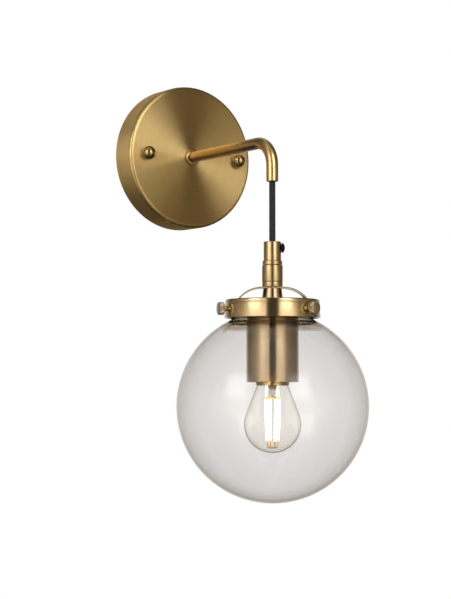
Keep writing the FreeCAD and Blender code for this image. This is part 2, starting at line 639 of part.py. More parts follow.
# ---------------------------------------------------------------- globe
def neck_outline(neck, ball, centre, fillet):
    """Where a neck of one radius runs into a ball through a fillet of the given radius."""
    fillet_x = neck + fillet
    fillet_z = centre + math.sqrt((ball + fillet) ** 2 - fillet_x ** 2)
    toward = math.atan2(centre - fillet_z, -fillet_x)
    on_ball = (fillet_x + fillet * math.cos(toward), fillet_z + fillet * math.sin(toward))
    halfway = (math.pi + (toward % (2 * math.pi))) / 2
    middle = (fillet_x + fillet * math.cos(halfway), fillet_z + fillet * math.sin(halfway))
    return (neck, fillet_z), middle, on_ball


def taper_start(neck, ball, centre):
    """Where a straight taper from the neck's foot touches the ball."""
    rise = neck[1] - centre
    slant = math.atan2(rise, neck[0]) - math.acos(ball / math.hypot(neck[0], rise))
    return ball * math.cos(slant), centre + ball * math.sin(slant)


def ball_middle(on_ball, ball, centre):
    """A point of the ball's arc, halfway between on_ball and the lowest point."""
    start = math.atan2(on_ball[1] - centre, on_ball[0])
    halfway = (start - math.pi / 2) / 2
    return (ball * math.cos(halfway), centre + ball * math.sin(halfway))


def globe():
    """A blown globe with a short neck and a flared lip that rests on the three screws.

    It is one piece of glass. Its solid is kept in slices that touch, so that simple shapes built round
    them follow the glass and leave its inside open.
    """
    outer, glass = GLOBE_DIAMETER / 2, GLOBE_GLASS
    inner = outer - glass
    neck, lip = NECK_DIAMETER / 2, LIP_DIAMETER / 2
    out_neck, out_middle, out_ball = neck_outline(neck, outer, GLOBE_CENTRE, NECK_FILLET)
    in_neck, in_middle, in_ball = neck_outline(neck - glass, inner, GLOBE_CENTRE, NECK_FILLET + glass)
    flare_start = LIP_TOP - LIP_FLARE
    section = profile((0, GLOBE_CENTRE - outer), (ball_middle(out_ball, outer, GLOBE_CENTRE), out_ball),
                      (out_middle, out_neck), (neck, flare_start), (lip, LIP_TOP - LIP_EDGE),
                      ((lip + LIP_EDGE * 0.2, LIP_TOP - LIP_EDGE / 2), (lip, LIP_TOP)),
                      (lip - LIP_FLARE, LIP_TOP), (neck - glass, flare_start), in_neck, (in_middle, in_ball),
                      (ball_middle(in_ball, inner, GLOBE_CENTRE), (0, GLOBE_CENTRE - inner)))
    cuts = [GLOBE_CENTRE - outer] + [GLOBE_CENTRE + outer * math.sin(math.radians(a)) for a in GLOBE_CUTS]
    cuts += [out_ball[1], LIP_TOP]
    turn = 360.0 / GLOBE_GORES
    slices = []
    for low, high in zip(cuts, cuts[1:]):
        band = section.common(profile((0, low), (outer, low), (outer, high), (0, high))).Faces[0]
        for gore in range(GLOBE_GORES):
            piece = band.revolve(Vector(0, 0, 0), Vector(0, 0, 1), turn)
            piece.rotate(Vector(0, 0, 0), Vector(0, 0, 1), turn * (gore - 0.5))
            slices.append(piece)
    return Part.makeCompound(slices)


# ---------------------------------------------------------------- lampholder
def lampholder_cup():
    """A spun cup: a flared neck under the bridge, a round shoulder and a straight skirt with a rolled rim."""
    outer, wall = CUP_DIAMETER / 2, CUP_WALL
    neck_top, neck = CUP_NECK_TOP_DIAMETER / 2, CUP_NECK_DIAMETER / 2
    shoulder_top = CUP_TOP - CUP_NECK_LENGTH
    inset = outer - neck
    round_ = (inset ** 2 + CUP_SHOULDER_LENGTH ** 2) / (2 * inset)
    centre = (outer - round_, shoulder_top - CUP_SHOULDER_LENGTH)
    bore = neck - wall
    inner_top = centre[1] + math.sqrt((round_ - wall) ** 2 - (bore - centre[0]) ** 2)
    rim = CUP_BOTTOM + CUP_RIM_ROLL
    return turned((NIPPLE_DIAMETER / 2, CUP_TOP), (neck_top, CUP_TOP), (neck, shoulder_top),
                  (arc_middle(centre, round_, 45), (outer, centre[1])), (outer, rim),
                  ((outer - wall / 2, CUP_BOTTOM), (outer - wall, rim)), (outer - wall, centre[1]),
                  (arc_middle(centre, round_ - wall, 45), (bore, inner_top)), (neck_top - wall, CUP_TOP - wall),
                  (NIPPLE_DIAMETER / 2, CUP_TOP - wall))


def lampholder_cap():
    """The insulating upper half, screwed on the nipple, hollow where the wires are fixed."""
    outer, wall = HOLDER_DIAMETER / 2, HOLDER_CAP_WALL
    boss, bore = HOLDER_BOSS_DIAMETER / 2 - 0.2, NIPPLE_DIAMETER / 2
    boss_bottom = CUP_TOP - CUP_NECK_LENGTH - CUP_WALL - 2
    shoulder = boss_bottom - (outer - boss) * 0.75
    floor = shoulder - wall
    return turned((bore, HOLDER_TOP), (boss - 0.6, HOLDER_TOP), (boss, HOLDER_TOP - 1), (boss, boss_bottom),
                  (outer, shoulder), (outer, HOLDER_SEAM), (outer - wall, HOLDER_SEAM), (outer - wall, floor),
                  (bore, boss_bottom - wall))


def lampholder_body():
    """The insulating lower half: a base disc above and a skirt round the threaded shell."""
    outer = HOLDER_DIAMETER / 2
    cavity = SHELL_BORE / 2 + SHELL_WALL
    body = turned((0, HOLDER_SEAM), (outer, HOLDER_SEAM), (outer, HOLDER_BOTTOM + 1), (outer - 1, HOLDER_BOTTOM),
                  (cavity, HOLDER_BOTTOM), (cavity, HOLDER_BASE_BOTTOM), (0, HOLDER_BASE_BOTTOM))
    for side in (-1, 1):
        hole = rod(TERMINAL_DIAMETER, HOLDER_SEAM - TERMINAL_HEIGHT / 2, HOLDER_SEAM, x=side * TERMINAL_PITCH / 2)
        body = body.cut(hole)
    return body


def holder_terminals():
    bottom = HOLDER_SEAM - TERMINAL_HEIGHT / 2
    posts = []
    for side in (-1, 1):
        x = side * TERMINAL_PITCH / 2
        post = rod(TERMINAL_DIAMETER, bottom, bottom + TERMINAL_HEIGHT, x=x)
        posts.append(post.cut(driver_slot(TERMINAL_DIAMETER, bottom + TERMINAL_HEIGHT, x=x)))
    return Part.makeCompound(posts)


def contact_shell():
    radius = SHELL_BORE / 2
    return ring(2 * (radius + SHELL_WALL), SHELL_BORE, HOLDER_BOTTOM + 2, HOLDER_BASE_BOTTOM - SHELL_TOP_GAP)


def centre_contact():
    """A sprung tongue that meets the bulb's contact: a rivet in the base and a dished pad."""
    pad_bottom = BULB_TOP + BODY_GAP
    pad = turned((0, pad_bottom), (BULB_CONTACT_DIAMETER / 2 - 1, pad_bottom), (BULB_CONTACT_DIAMETER / 2, pad_bottom + 0.6),
                 (BULB_CONTACT_DIAMETER / 2 - 1, pad_bottom + 0.8), (0, pad_bottom + 0.8))
    post = rod(CONTACT_POST_DIAMETER, pad_bottom + 0.4, HOLDER_BASE_BOTTOM)
    return fuse_all([pad, post])


def lampholder_leads():
    """Two insulated cores from the sheathed cord to the holder's terminals."""
    top = GRIP_BOTTOM - CORD_END_IN_NIPPLE - BODY_GAP
    turn_height = NIPPLE_BOTTOM - 1.5
    end_height = HOLDER_SEAM + TERMINAL_HEIGHT / 2
    cores = []
    for side in (-1, 1):
        near, far = side * LEAD_PITCH / 2, side * (TERMINAL_PITCH / 2 - TERMINAL_DIAMETER / 2)
        a, b = Vector(near, 0, top), Vector(near, 0, turn_height)
        d = Vector(far, 0, end_height)
        slope = (d - b).normalize()
        blend = LEAD_BEND_LENGTH
        start, end = b + Vector(0, 0, blend), b + slope * blend
        bisector = (Vector(0, 0, 1) + slope).normalize()
        half_angle = math.acos(max(-1.0, min(1.0, bisector.dot(slope))))
        radius = blend * math.tan(half_angle)
        middle = b + bisector * (blend / math.cos(half_angle) - radius)
        edges = [Part.LineSegment(a, start).toShape(), Part.Arc(start, middle, end).toShape(),
                 Part.LineSegment(end, d).toShape()]
        cores.append(swept(edges, a, Vector(0, 0, -1), LEAD_DIAMETER))
    return Part.makeCompound(cores)


# ---------------------------------------------------------------- bulb
def bulb_cap():
    radius, wall, shoulder = BULB_CAP_DIAMETER / 2, BULB_CAP_WALL, BULB_CAP_SHOULDER
    return turned((radius - wall, BULB_CAP_BOTTOM), (radius, BULB_CAP_BOTTOM), (radius, BULB_CAP_TOP - shoulder),
                  (radius - shoulder, BULB_CAP_TOP), (radius - shoulder - wall, BULB_CAP_TOP),
                  (radius - wall, BULB_CAP_TOP - shoulder - wall / 2))


def bulb_insulator():
    radius = BULB_CAP_DIAMETER / 2 - BULB_CAP_SHOULDER - BULB_CAP_WALL
    contact = BULB_CONTACT_DIAMETER / 2
    top = BULB_CAP_TOP + BULB_INSULATOR_HEIGHT
    return turned((0, BULB_CAP_TOP - 1), (radius, BULB_CAP_TOP - 1), (radius, BULB_CAP_TOP + 0.5), (contact, top), (0, top))


def bulb_contact():
    bottom = BULB_CAP_TOP + BULB_INSULATOR_HEIGHT
    radius = BULB_CONTACT_DIAMETER / 2
    return turned((0, bottom), (radius, bottom), (radius - 0.6, bottom + BULB_CONTACT_HEIGHT), (0, bottom + BULB_CONTACT_HEIGHT))


def bulb_glass():
    outer, glass = BULB_DIAMETER / 2, BULB_GLASS
    neck = BULB_NECK_DIAMETER / 2
    top = BULB_CAP_BOTTOM + BULB_GLASS_OVERLAP
    out_neck = (neck, BULB_CAP_BOTTOM + BULB_TAPER_OVERLAP)
    in_neck = (neck - glass, BULB_CAP_BOTTOM + BULB_TAPER_OVERLAP)
    out_ball = taper_start(out_neck, outer, BULB_CENTRE)
    in_ball = taper_start(in_neck, outer - glass, BULB_CENTRE)
    return turned((0, BULB_TIP), (ball_middle(out_ball, outer, BULB_CENTRE), out_ball), out_neck,
                  (neck, top), (neck - glass, top), in_neck, in_ball,
                  (ball_middle(in_ball, outer - glass, BULB_CENTRE), (0, BULB_TIP + glass)))


def bulb_stem():
    """The glass foot sealed across the bulb's neck and the rod that carries the filaments."""
    top = BULB_CAP_BOTTOM + STEM_OVERLAP
    flare = BULB_NECK_DIAMETER / 2 - BULB_GLASS
    rod_radius = STEM_DIAMETER / 2
    return turned((0, STEM_END), (rod_radius, STEM_END), (rod_radius, BULB_CAP_BOTTOM - STEM_NARROW_DROP),
                  ((rod_radius + 2.2, BULB_CAP_BOTTOM + 1.8), (flare, top - STEM_FLARE_HEIGHT)), (flare, top), (0, top))


def filament_ends():
    """The upper and lower end of each filament, on two circles round the stem."""
    ends = []
    for index in range(FILAMENT_COUNT):
        angle = math.radians(FILAMENT_FIRST_AZIMUTH + 360 * index / FILAMENT_COUNT)
        direction = Vector(math.sin(angle), -math.cos(angle), 0)
        top = direction * (FILAMENT_TOP_CIRCLE / 2) + Vector(0, 0, FILAMENT_TOP)
        bottom = direction * (FILAMENT_BOTTOM_CIRCLE / 2) + Vector(0, 0, FILAMENT_BOTTOM)
        ends.append((direction, top, bottom))
    return ends


def cylinder_between(start, end, diameter):
    along = end - start
    return Part.makeCylinder(diameter / 2, along.Length, start, along)


def bulb_filaments():
    return Part.makeCompound([cylinder_between(top, bottom, FILAMENT_DIAMETER) for _, top, bottom in filament_ends()])


def filament_wires():
    """The wires that hold the filaments: a spider under the stem and a ring that joins the lower ends."""
    hub_bottom = STEM_END - WIRE_HUB_HEIGHT
    upper = [rod(WIRE_HUB_DIAMETER, hub_bottom, STEM_END)]
    lower = [Part.makeTorus(WIRE_RING_DIAMETER / 2, WIRE_DIAMETER / 2, Vector(0, 0, WIRE_RING_HEIGHT))]
    for direction, top, bottom in filament_ends():
        root = Vector(0, 0, STEM_END - WIRE_HUB_HEIGHT / 2)
        upper.append(cylinder_between(root, top, WIRE_DIAMETER))
        joint = direction * (WIRE_RING_DIAMETER / 2) + Vector(0, 0, WIRE_RING_HEIGHT)
        lower.append(cylinder_between(joint, bottom, WIRE_DIAMETER))
    filaments = bulb_filaments()
    return Part.makeCompound([fuse_all(upper).cut(filaments), fuse_all(lower).cut(filaments)])


# ---------------------------------------------------------------- the whole light
def wall_side():
    keep("wall_bracket", wall_bracket())
    both = (-STUD_SPACING / 2, STUD_SPACING / 2)
    keep("bracket_studs", Part.makeCompound([from_wall(stud(), x=x) for x in both]))
    nut = hexagon(STUD_NUT_WIDTH, BRACKET_STEP + BRACKET_THICKNESS, STUD_NUT_HEIGHT, STUD_DIAMETER)
    keep("stud_nuts", Part.makeCompound([from_wall(nut, x=x) for x in both]))
    keep("canopy", from_wall(canopy()))
    keep("ball_nut_left", from_wall(ball_nut(), x=both[0]))
    keep("ball_nut_right", from_wall(ball_nut(), x=both[1]))
    keep("earth_screw", earth_screw())
    block_body, block_screws = terminal_block()
    keep("terminal_block", block_body)
    keep("terminal_screws", block_screws)


def arm_side():
    keep("arm_tube", arm_tube())
    keep("arm_collar", from_wall(arm_collar()))
    inner_face = CANOPY_DEPTH - CANOPY_WALL
    washer = ring(WASHER_DIAMETER, ARM_DIAMETER, inner_face - WASHER_THICKNESS, inner_face)
    keep("arm_washer", from_wall(washer))
    nut_bottom = inner_face - WASHER_THICKNESS - ARM_NUT_HEIGHT
    keep("arm_nut", from_wall(hexagon(ARM_NUT_WIDTH, nut_bottom, ARM_NUT_HEIGHT, ARM_DIAMETER)))
    keep("cord_bush", on_pendant(cord_bush()))
    keep("cord_in_arm", cord_in_arm())
    keep("cord", on_pendant(cord()))


def hanging_side():
    keep("cord_grip", cord_grip())
    keep("cord_in_grip", on_pendant(cord_in_grip()))
    keep("grip_screw", grip_screw())
    keep("coupling", on_pendant(chamfered_collar(COUPLING_DIAMETER, NIPPLE_DIAMETER, COUPLING_BOTTOM, COUPLING_TOP)))
    keep("lock_ring", on_pendant(chamfered_collar(LOCK_RING_DIAMETER, NIPPLE_DIAMETER, LOCK_RING_BOTTOM, COUPLING_BOTTOM)))
    keep("nipple", on_pendant(ring(NIPPLE_DIAMETER, NIPPLE_BORE, NIPPLE_BOTTOM, NIPPLE_TOP)))
    keep("bridge", bridge())
    keep("gallery_ring", gallery_ring())
    for number, azimuth in enumerate(THUMB_AZIMUTHS, 1):
        keep("thumb_screw_%d" % number, thumb_screw(azimuth))
    keep("globe", on_pendant(globe()))
    keep("lampholder_cup", on_pendant(lampholder_cup()))
    keep("lampholder_cap", on_pendant(lampholder_cap()))
    keep("lampholder_body", on_pendant(lampholder_body()))
    keep("holder_terminals", on_pendant(holder_terminals()))
    keep("contact_shell", on_pendant(contact_shell()))
    keep("centre_contact", on_pendant(centre_contact()))
    keep("lampholder_leads", on_pendant(lampholder_leads()))
    keep("bulb_cap", on_pendant(bulb_cap()))
    keep("bulb_insulator", on_pendant(bulb_insulator()))
    keep("bulb_contact", on_pendant(bulb_contact()))
    keep("bulb_glass", on_pendant(bulb_glass()))
    keep("bulb_stem", on_pendant(bulb_stem()))
    keep("bulb_filaments", on_pendant(bulb_filaments()))
    keep("filament_wires", on_pendant(filament_wires()))


os.makedirs("parts", exist_ok=True)
wall_side()
arm_side()
hanging_side()
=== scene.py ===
# %% [markdown]
# # A globe wall sconce in brass and clear glass
# This lesson dresses a light that was built as solids first. The solids give every size and place, and
# this script gives the looks. The light's own lengths are typed in millimetres, like the drawing, and the
# helpers turn them into Blender's metres; the studio is in metres. The origin is the centre of the wall
# plate, the wall is the plane y = 0, and the lamp hangs on a vertical axis 141 mm out from the wall,
# along -Y.

# %% Load the solids
import json
from math import acos, asin, atan2, cos, degrees, hypot, pi, radians, sin, sqrt, tan

import bpy
import bmesh
from mathutils import Matrix, Vector

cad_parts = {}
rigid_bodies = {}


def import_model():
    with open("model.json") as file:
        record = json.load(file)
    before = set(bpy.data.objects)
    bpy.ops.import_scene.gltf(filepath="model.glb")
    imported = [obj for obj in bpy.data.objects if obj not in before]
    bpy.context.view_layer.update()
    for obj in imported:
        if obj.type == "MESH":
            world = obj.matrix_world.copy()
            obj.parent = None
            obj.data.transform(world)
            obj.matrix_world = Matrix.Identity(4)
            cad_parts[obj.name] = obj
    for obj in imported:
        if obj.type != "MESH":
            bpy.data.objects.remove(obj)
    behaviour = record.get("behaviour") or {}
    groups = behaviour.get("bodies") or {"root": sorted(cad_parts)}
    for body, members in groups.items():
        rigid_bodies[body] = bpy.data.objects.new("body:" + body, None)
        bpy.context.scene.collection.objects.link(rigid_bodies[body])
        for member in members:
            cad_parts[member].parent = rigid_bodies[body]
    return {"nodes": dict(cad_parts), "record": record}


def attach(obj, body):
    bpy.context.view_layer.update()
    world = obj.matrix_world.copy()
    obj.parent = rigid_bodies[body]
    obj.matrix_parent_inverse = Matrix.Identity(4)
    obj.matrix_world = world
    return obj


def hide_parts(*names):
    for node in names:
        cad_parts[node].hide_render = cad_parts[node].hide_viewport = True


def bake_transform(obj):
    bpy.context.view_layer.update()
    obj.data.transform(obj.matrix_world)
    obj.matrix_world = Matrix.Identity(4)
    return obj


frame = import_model()
scene = bpy.context.scene
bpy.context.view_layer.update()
REACH = 141
PENDANT = Vector((0, -REACH, 0))

# %% [markdown]
# ## Camera
# The photograph was matched with a pinhole camera: the ellipse of the wall plate, the arm, the
# globe and the hanging axis give its place, its direction and a lens of about 99 mm. It stands left of
# the light, a little below the arm. It is tilted, not shifted, so it works from any other side too.

# %% Camera
CAMERA_AZIMUTH, CAMERA_TILT = 33.94, 2.947
camera = bpy.data.objects.new("camera", bpy.data.cameras.new("camera"))
scene.collection.objects.link(camera)
camera.location = (-0.7470, -1.1852, -0.1913)
camera.rotation_euler = (radians(90 + CAMERA_TILT), 0, radians(-CAMERA_AZIMUTH))
camera.data.lens = 98.71
camera.data.clip_start = 0.05
scene.camera = camera
scene.view_settings.view_transform = "Standard"
print("camera looks along", [round(v, 3) for v in camera.rotation_euler.to_matrix() @ Vector((0, 0, -1))])

# %% [markdown]
# ## Small helpers for materials
# Colours are easiest to pick as the hex values of a paint program, which are sRGB, so one function turns
# them into the renderer's linear light. A second function adds any node, sets it and links it in one line,
# so a material reads from top to bottom like a recipe. A node that is given as an input's value stands for
# its first output.

# %% Colour and node helpers
WHITE = "#FFFFFF"


def colour(code):
    """An sRGB hex value as linear red, green, blue and alpha."""
    parts = [int(code[i:i + 2], 16) / 255 for i in (1, 3, 5)]
    return (*[c / 12.92 if c <= 0.04045 else ((c + 0.055) / 1.055) ** 2.4 for c in parts], 1.0)


def add(tree, kind, inputs=None, **settings):
    """One shader node: settings first, then each input is linked to a socket or node, or given a value."""
    new = tree.nodes.new("ShaderNode" + kind)
    for name, value in settings.items():
        setattr(new, name, value)
    for name, value in (inputs or {}).items():
        if isinstance(value, bpy.types.Node):
            value = value.outputs[0]
        if isinstance(value, bpy.types.NodeSocket):
            tree.links.new(value, new.inputs[name])
        else:
            new.inputs[name].default_value = colour(value) if isinstance(value, str) else value
    return new


def empty_tree(owner):
    owner.use_nodes = True
    owner.node_tree.nodes.clear()
    return owner.node_tree


print("polished brass in linear light:", [round(c, 3) for c in colour("#E0C798")])

# %% [markdown]
# ## Studio
# A product photograph on white has two jobs that pull apart: the background is pure white, yet brass only
# looks like brass when it also mirrors something dark. So the world is white for the camera and for
# mirror and glass rays, and a little under white for the light on matt surfaces. Round the light stands a
# screen that only reflections see. Its dark middle, behind the camera, gives every turned piece its thin
# dark stripe, and its brown parts keep the edges of the brass from washing out against the white.

# %% World
world = bpy.data.worlds.new("white studio")
scene.world = world
tree = empty_tree(world)
rays = add(tree, "LightPath").outputs
seen = add(tree, "Math", {0: rays["Is Camera Ray"], 1: rays["Is Glossy Ray"]}, operation="MAXIMUM")
seen = add(tree, "Math", {0: seen, 1: rays["Is Transmission Ray"]}, operation="MAXIMUM")
white = add(tree, "Mix", {0: seen, 6: "#BEBEBE", 7: WHITE}, data_type="RGBA").outputs[2]
light = add(tree, "Background", {"Color": white, "Strength": 1.0})
add(tree, "OutputWorld", {"Surface": light})
print("world is white where the camera, gloss or glass looks at it")

# %% Places in the studio
# A bearing is measured at the lamp, from the direction of the camera, towards the right of the picture.
CENTRE = Vector((0, -0.10, -0.14))
TO_CAMERA = Vector((-sin(radians(CAMERA_AZIMUTH)), -cos(radians(CAMERA_AZIMUTH)), 0))
TO_RIGHT = Vector((-TO_CAMERA.y, TO_CAMERA.x, 0))


def studio_direction(bearing, height):
    b, h = radians(bearing), radians(height)
    return (TO_CAMERA * cos(b) + TO_RIGHT * sin(b)) * cos(h) + Vector((0, 0, sin(h)))


def studio_place(bearing, height, distance):
    """A matrix at this place, whose -Z axis looks at the lamp."""
    out = studio_direction(bearing, height)
    return Matrix.Translation(CENTRE + out * distance) @ out.to_track_quat("Z", "Y").to_matrix().to_4x4()


# %% Putting things in the scene
def put(name, data, place=None):
    """A new object in the scene."""
    new = bpy.data.objects.new(name, data)
    if place is not None:
        new.matrix_world = place
    scene.collection.objects.link(new)
    return new


def mesh_of(name, verts, faces):
    mesh = bpy.data.meshes.new(name)
    mesh.from_pydata(verts, [], faces)
    return mesh


def studio_sheet(name, mesh, paint, place=None):
    """A sheet of the studio that stays out of the picture and out of the way of the light."""
    mesh.materials.append(paint)
    holder = put(name, mesh, place)
    holder.visible_camera = holder.visible_diffuse = holder.visible_shadow = False


def studio_paint(name):
    """A glowing paint that gives no light of its own to the scene, and its tree."""
    paint = bpy.data.materials.new(name)
    paint.cycles.emission_sampling = "NONE"
    return paint, empty_tree(paint)


def was_mirrored(tree):
    """1 for a ray that a glossy surface has reflected, and 0 for any other."""
    bounces = add(tree, "LightPath").outputs["Glossy Depth"]
    return add(tree, "Math", {0: bounces, 1: 0.5}, operation="GREATER_THAN")


# %% [markdown]
# ## Curved screen
# The screen is a big ball round the light. Its UV map holds the bearing and the height, so two colour
# ramps paint it: one round the horizon, one from below to above. Glass that is only looked through must
# not show it, or the globe would fill with brown, so it is see-through for rays without a glossy bounce.
# A sharp mirror ray comes from glass, and it sees paler tones, because the outlines of clear glass on
# white are pale grey. The lower part is drawn in like a bowl so that it rests above the floor.

# %% Paint of the screen
SCREEN_MAP = "bearing and height"
SCREEN_GLOW, PALE_SHARE, PALE_TONE = 1.6, 0.6, "#A8A6A4"


def bearing_share(bearing):
    """A bearing from -180 to 180 degrees as a share from 0 to 1."""
    return (bearing + 180) / 360


def height_share(height):
    """A height from -90 to 90 degrees as a share from 0 to 1."""
    return (height + 90) / 180


def fill_ramp(ramp, stops):
    """Gives a colour ramp these stops, each a place from 0 to 1 and a hex colour."""
    points = ramp.elements
    while len(points) < len(stops):
        points.new(0.5)
    for point, (place, code) in zip(points, stops):
        point.position, point.color = place, colour(code)


around_stops = [(-180, "#C6C3BF"), (-152, "#A8A49E"), (-128, "#4E4840"), (-99, "#786F64"), (-80, "#978F84"),
                (-62, "#CEC8BE"), (-48, "#F4F0E8"), (-17, "#F4F0E8"), (-14, "#373432"), (13, "#373432"),
                (16, "#F4F0E8"), (46, "#F0ECE4"), (64, "#8A7F70"), (92, "#645B50"), (125, "#4E4840"),
                (152, "#A8A49E"), (180, "#C6C3BF")]
upward_stops = [(-80, "#5A544C"), (-45, "#6E6860"), (-20, "#C8C4BC"), (-6, "#F4F2EE"), (9, "#F4F2EE"),
                (18, "#B4B1AD"), (60, "#B4B1AD"), (88, "#C4C1BD")]
screen_paint, tree = studio_paint("studio screen")
chart = add(tree, "SeparateXYZ", {0: add(tree, "UVMap", uv_map=SCREEN_MAP)}).outputs
by_bearing, by_height = (add(tree, "ValToRGB", {0: chart[axis]}) for axis in (0, 1))
fill_ramp(by_bearing.color_ramp, [(bearing_share(bearing), code) for bearing, code in around_stops])
fill_ramp(by_height.color_ramp, [(height_share(height), code) for height, code in upward_stops])
tone = add(tree, "Mix", {0: 1.0, 6: by_bearing, 7: by_height}, data_type="RGBA",
           blend_type="MULTIPLY").outputs[2]
rays = add(tree, "LightPath").outputs
sharp = add(tree, "Math", {0: rays["Is Singular Ray"], 1: rays["Is Reflection Ray"]}, operation="MULTIPLY")
pale = add(tree, "Math", {0: sharp, 1: PALE_SHARE}, operation="MULTIPLY")
tone = add(tree, "Mix", {0: pale, 6: tone, 7: PALE_TONE}, data_type="RGBA", blend_type="LIGHTEN").outputs[2]
glow = add(tree, "Emission", {"Color": tone, "Strength": SCREEN_GLOW})
shown = add(tree, "MixShader", {0: was_mirrored(tree), 1: add(tree, "BsdfTransparent"), 2: glow})
add(tree, "OutputMaterial", {"Surface": shown})
print("screen with", len(around_stops), "tones round the horizon")

# %% Shape of the screen
BEARING_STEPS, HEIGHT_STEPS, SCREEN_REACH, BOWL_DEPTH, TOP_HEIGHT = 72, 24, 2.8, 1.3, 89.9
bearings = [-180 + 360 * i / BEARING_STEPS for i in range(BEARING_STEPS + 1)]
heights = [-TOP_HEIGHT + 2 * TOP_HEIGHT * i / HEIGHT_STEPS for i in range(HEIGHT_STEPS + 1)]
verts, faces, row = [], [], BEARING_STEPS + 1
for h in heights:
    far = min(SCREEN_REACH, BOWL_DEPTH / max(-sin(radians(h)), 0.1))
    verts += [CENTRE + studio_direction(b, h) * far for b in bearings]
for first in range(0, HEIGHT_STEPS * row, row):
    faces += [(first + i, first + i + 1, first + row + i + 1, first + row + i) for i in range(BEARING_STEPS)]
screen_mesh = mesh_of("studio screen", verts, faces)
chart = screen_mesh.uv_layers.new(name=SCREEN_MAP)
for corner in screen_mesh.loops:
    y, x = divmod(corner.vertex_index, row)
    chart.data[corner.index].uv = (bearing_share(bearings[x]), height_share(heights[y]))
studio_sheet("studio screen", screen_mesh, screen_paint)
print("screen with", len(faces), "faces")

# %% [markdown]
# ## Soft boxes
# A soft box is brightest in its middle and fades towards its cloth edges, but Blender's area lamp has an
# even face, which glass would mirror as a sharp rectangle. So the lamp lights the scene and hides from
# reflections, and a sheet in the same place shows them the fading glow. The sheet adds its light to what
# is behind it, so its faded edge doesn't cut a dark frame out of the screen.

# %% Soft boxes
BOX_DISTANCE, BOX_BRIGHTNESS, LIT_SHARE, EVEN_SHARE = 2.0, 1.9, 0.8, 0.25


def area_lamp(name, bearing, height, width, tall, brightness):
    """A lamp whose face has this brightness, where white paper in full light is 1."""
    lamp = bpy.data.lights.new(name, "AREA")
    lamp.shape, lamp.size, lamp.size_y = "RECTANGLE", width, tall
    lamp.energy = brightness * pi * width * tall
    holder = put(name, lamp, studio_place(bearing, height, BOX_DISTANCE))
    holder.visible_camera = holder.visible_transmission = False
    return holder


def soft_box(name, bearing, height, width, tall):
    lamp = area_lamp(name, bearing, height, width * LIT_SHARE, tall * LIT_SHARE, BOX_BRIGHTNESS)
    lamp.visible_glossy = False
    x, y = width / 2, tall / 2
    paint, tree = studio_paint(name + " glow")
    place = add(tree, "SeparateXYZ", {0: add(tree, "TexCoord").outputs["Object"]}).outputs
    power = was_mirrored(tree)
    for axis, half in ((0, x), (1, y)):
        off = add(tree, "Math", {0: place[axis]}, operation="ABSOLUTE")
        fade = add(tree, "MapRange", {0: off, 1: EVEN_SHARE * half, 2: half, 3: 1.0, 4: 0.0},
                   interpolation_type="SMOOTHSTEP")
        power = add(tree, "Math", {0: power, 1: fade}, operation="MULTIPLY")
    power = add(tree, "Math", {0: power, 1: BOX_BRIGHTNESS}, operation="MULTIPLY")
    glow = add(tree, "Emission", {"Color": WHITE, "Strength": power})
    added = add(tree, "AddShader", {0: glow, 1: add(tree, "BsdfTransparent")})
    add(tree, "OutputMaterial", {"Surface": added})
    mesh = mesh_of(name + " glow", [(-x, -y, 0), (x, -y, 0), (x, y, 0), (-x, y, 0)], [(0, 1, 2, 3)])
    studio_sheet(name + " glow", mesh, paint, lamp.matrix_world.copy())


soft_box("left soft box", -45, 21, 1.5, 1.4)
soft_box("right soft box", 33, 21, 1.25, 1.4)
print("two soft boxes")

# %% [markdown]
# ## A light for the plate
# Brushed metal shows a lamp as a wedge of light, and one broad lamp high on the right gives the plate its
# wedge. In a studio a snoot keeps such a lamp off the rest of the object. Here light linking does: only
# the pieces in the lamp's receiver collection are lit by it, and the globe doesn't mirror it.

# %% Plate light
plate_light = area_lamp("plate light", 31, 33, 1.2, 1.2, 1.6)
plate_receivers = bpy.data.collections.new("lit by the plate light")
plate_light.light_linking.receiver_collection = plate_receivers
print("plate light for", plate_receivers.name)

# %% [markdown]
# ## Floor
# A wall light hangs about a metre and a half over the floor, a pale disc that catches its shadow. The
# floor glows a little for the camera alone, so that it isn't seen as a grey disc on the white, and it is
# see-through from below, so that a low view isn't blocked.

# %% Floor
FLOOR, FLOOR_RADIUS, FLOOR_LIFT = -1.5, 2.5, 0.56
floor_mesh = bpy.data.meshes.new("floor")
shape = bmesh.new()
bmesh.ops.create_circle(shape, cap_ends=True, segments=96, radius=FLOOR_RADIUS)
shape.to_mesh(floor_mesh)
shape.free()
put("floor", floor_mesh, Matrix.Translation((0, 0, FLOOR)))
paint = bpy.data.materials.new("pale matt floor")
tree = empty_tree(paint)
rays = add(tree, "LightPath").outputs
lift = add(tree, "Math", {0: rays["Is Camera Ray"], 1: FLOOR_LIFT}, operation="MULTIPLY")
glow = add(tree, "Emission", {"Color": WHITE, "Strength": lift})
matt = add(tree, "AddShader", {0: add(tree, "BsdfDiffuse", {"Color": "#ECEAE6"}), 1: glow})
seen = add(tree, "Math", {0: rays["Is Glossy Ray"], 1: rays["Is Transmission Ray"]}, operation="MAXIMUM")
white = add(tree, "Emission", {"Color": WHITE, "Strength": 1.0})
pale = add(tree, "MixShader", {0: seen, 1: matt, 2: white})
from_below = add(tree, "NewGeometry").outputs["Backfacing"]
floor_look = add(tree, "MixShader", {0: from_below, 1: pale, 2: add(tree, "BsdfTransparent")})
add(tree, "OutputMaterial", {"Surface": floor_look})
floor_mesh.materials.append(paint)
print("floor at", FLOOR, "m")

# %% [markdown]
# ## Patterns at their real size
# Grain, brushing and weave only look right at their real size. Blender's noise repeats about once per
# unit of its input, so an input multiplied by 1000 / size gives features of that size in millimetres.
# Each piece keeps its origin on its turning axis, so the pattern can follow the turn.

# %% Pattern helpers
def per(size):
    """The factor that makes one unit of a texture as long as this size in millimetres."""
    return 1000.0 / size


print("a pattern of 0.6 mm has a scale of", round(per(0.6)))

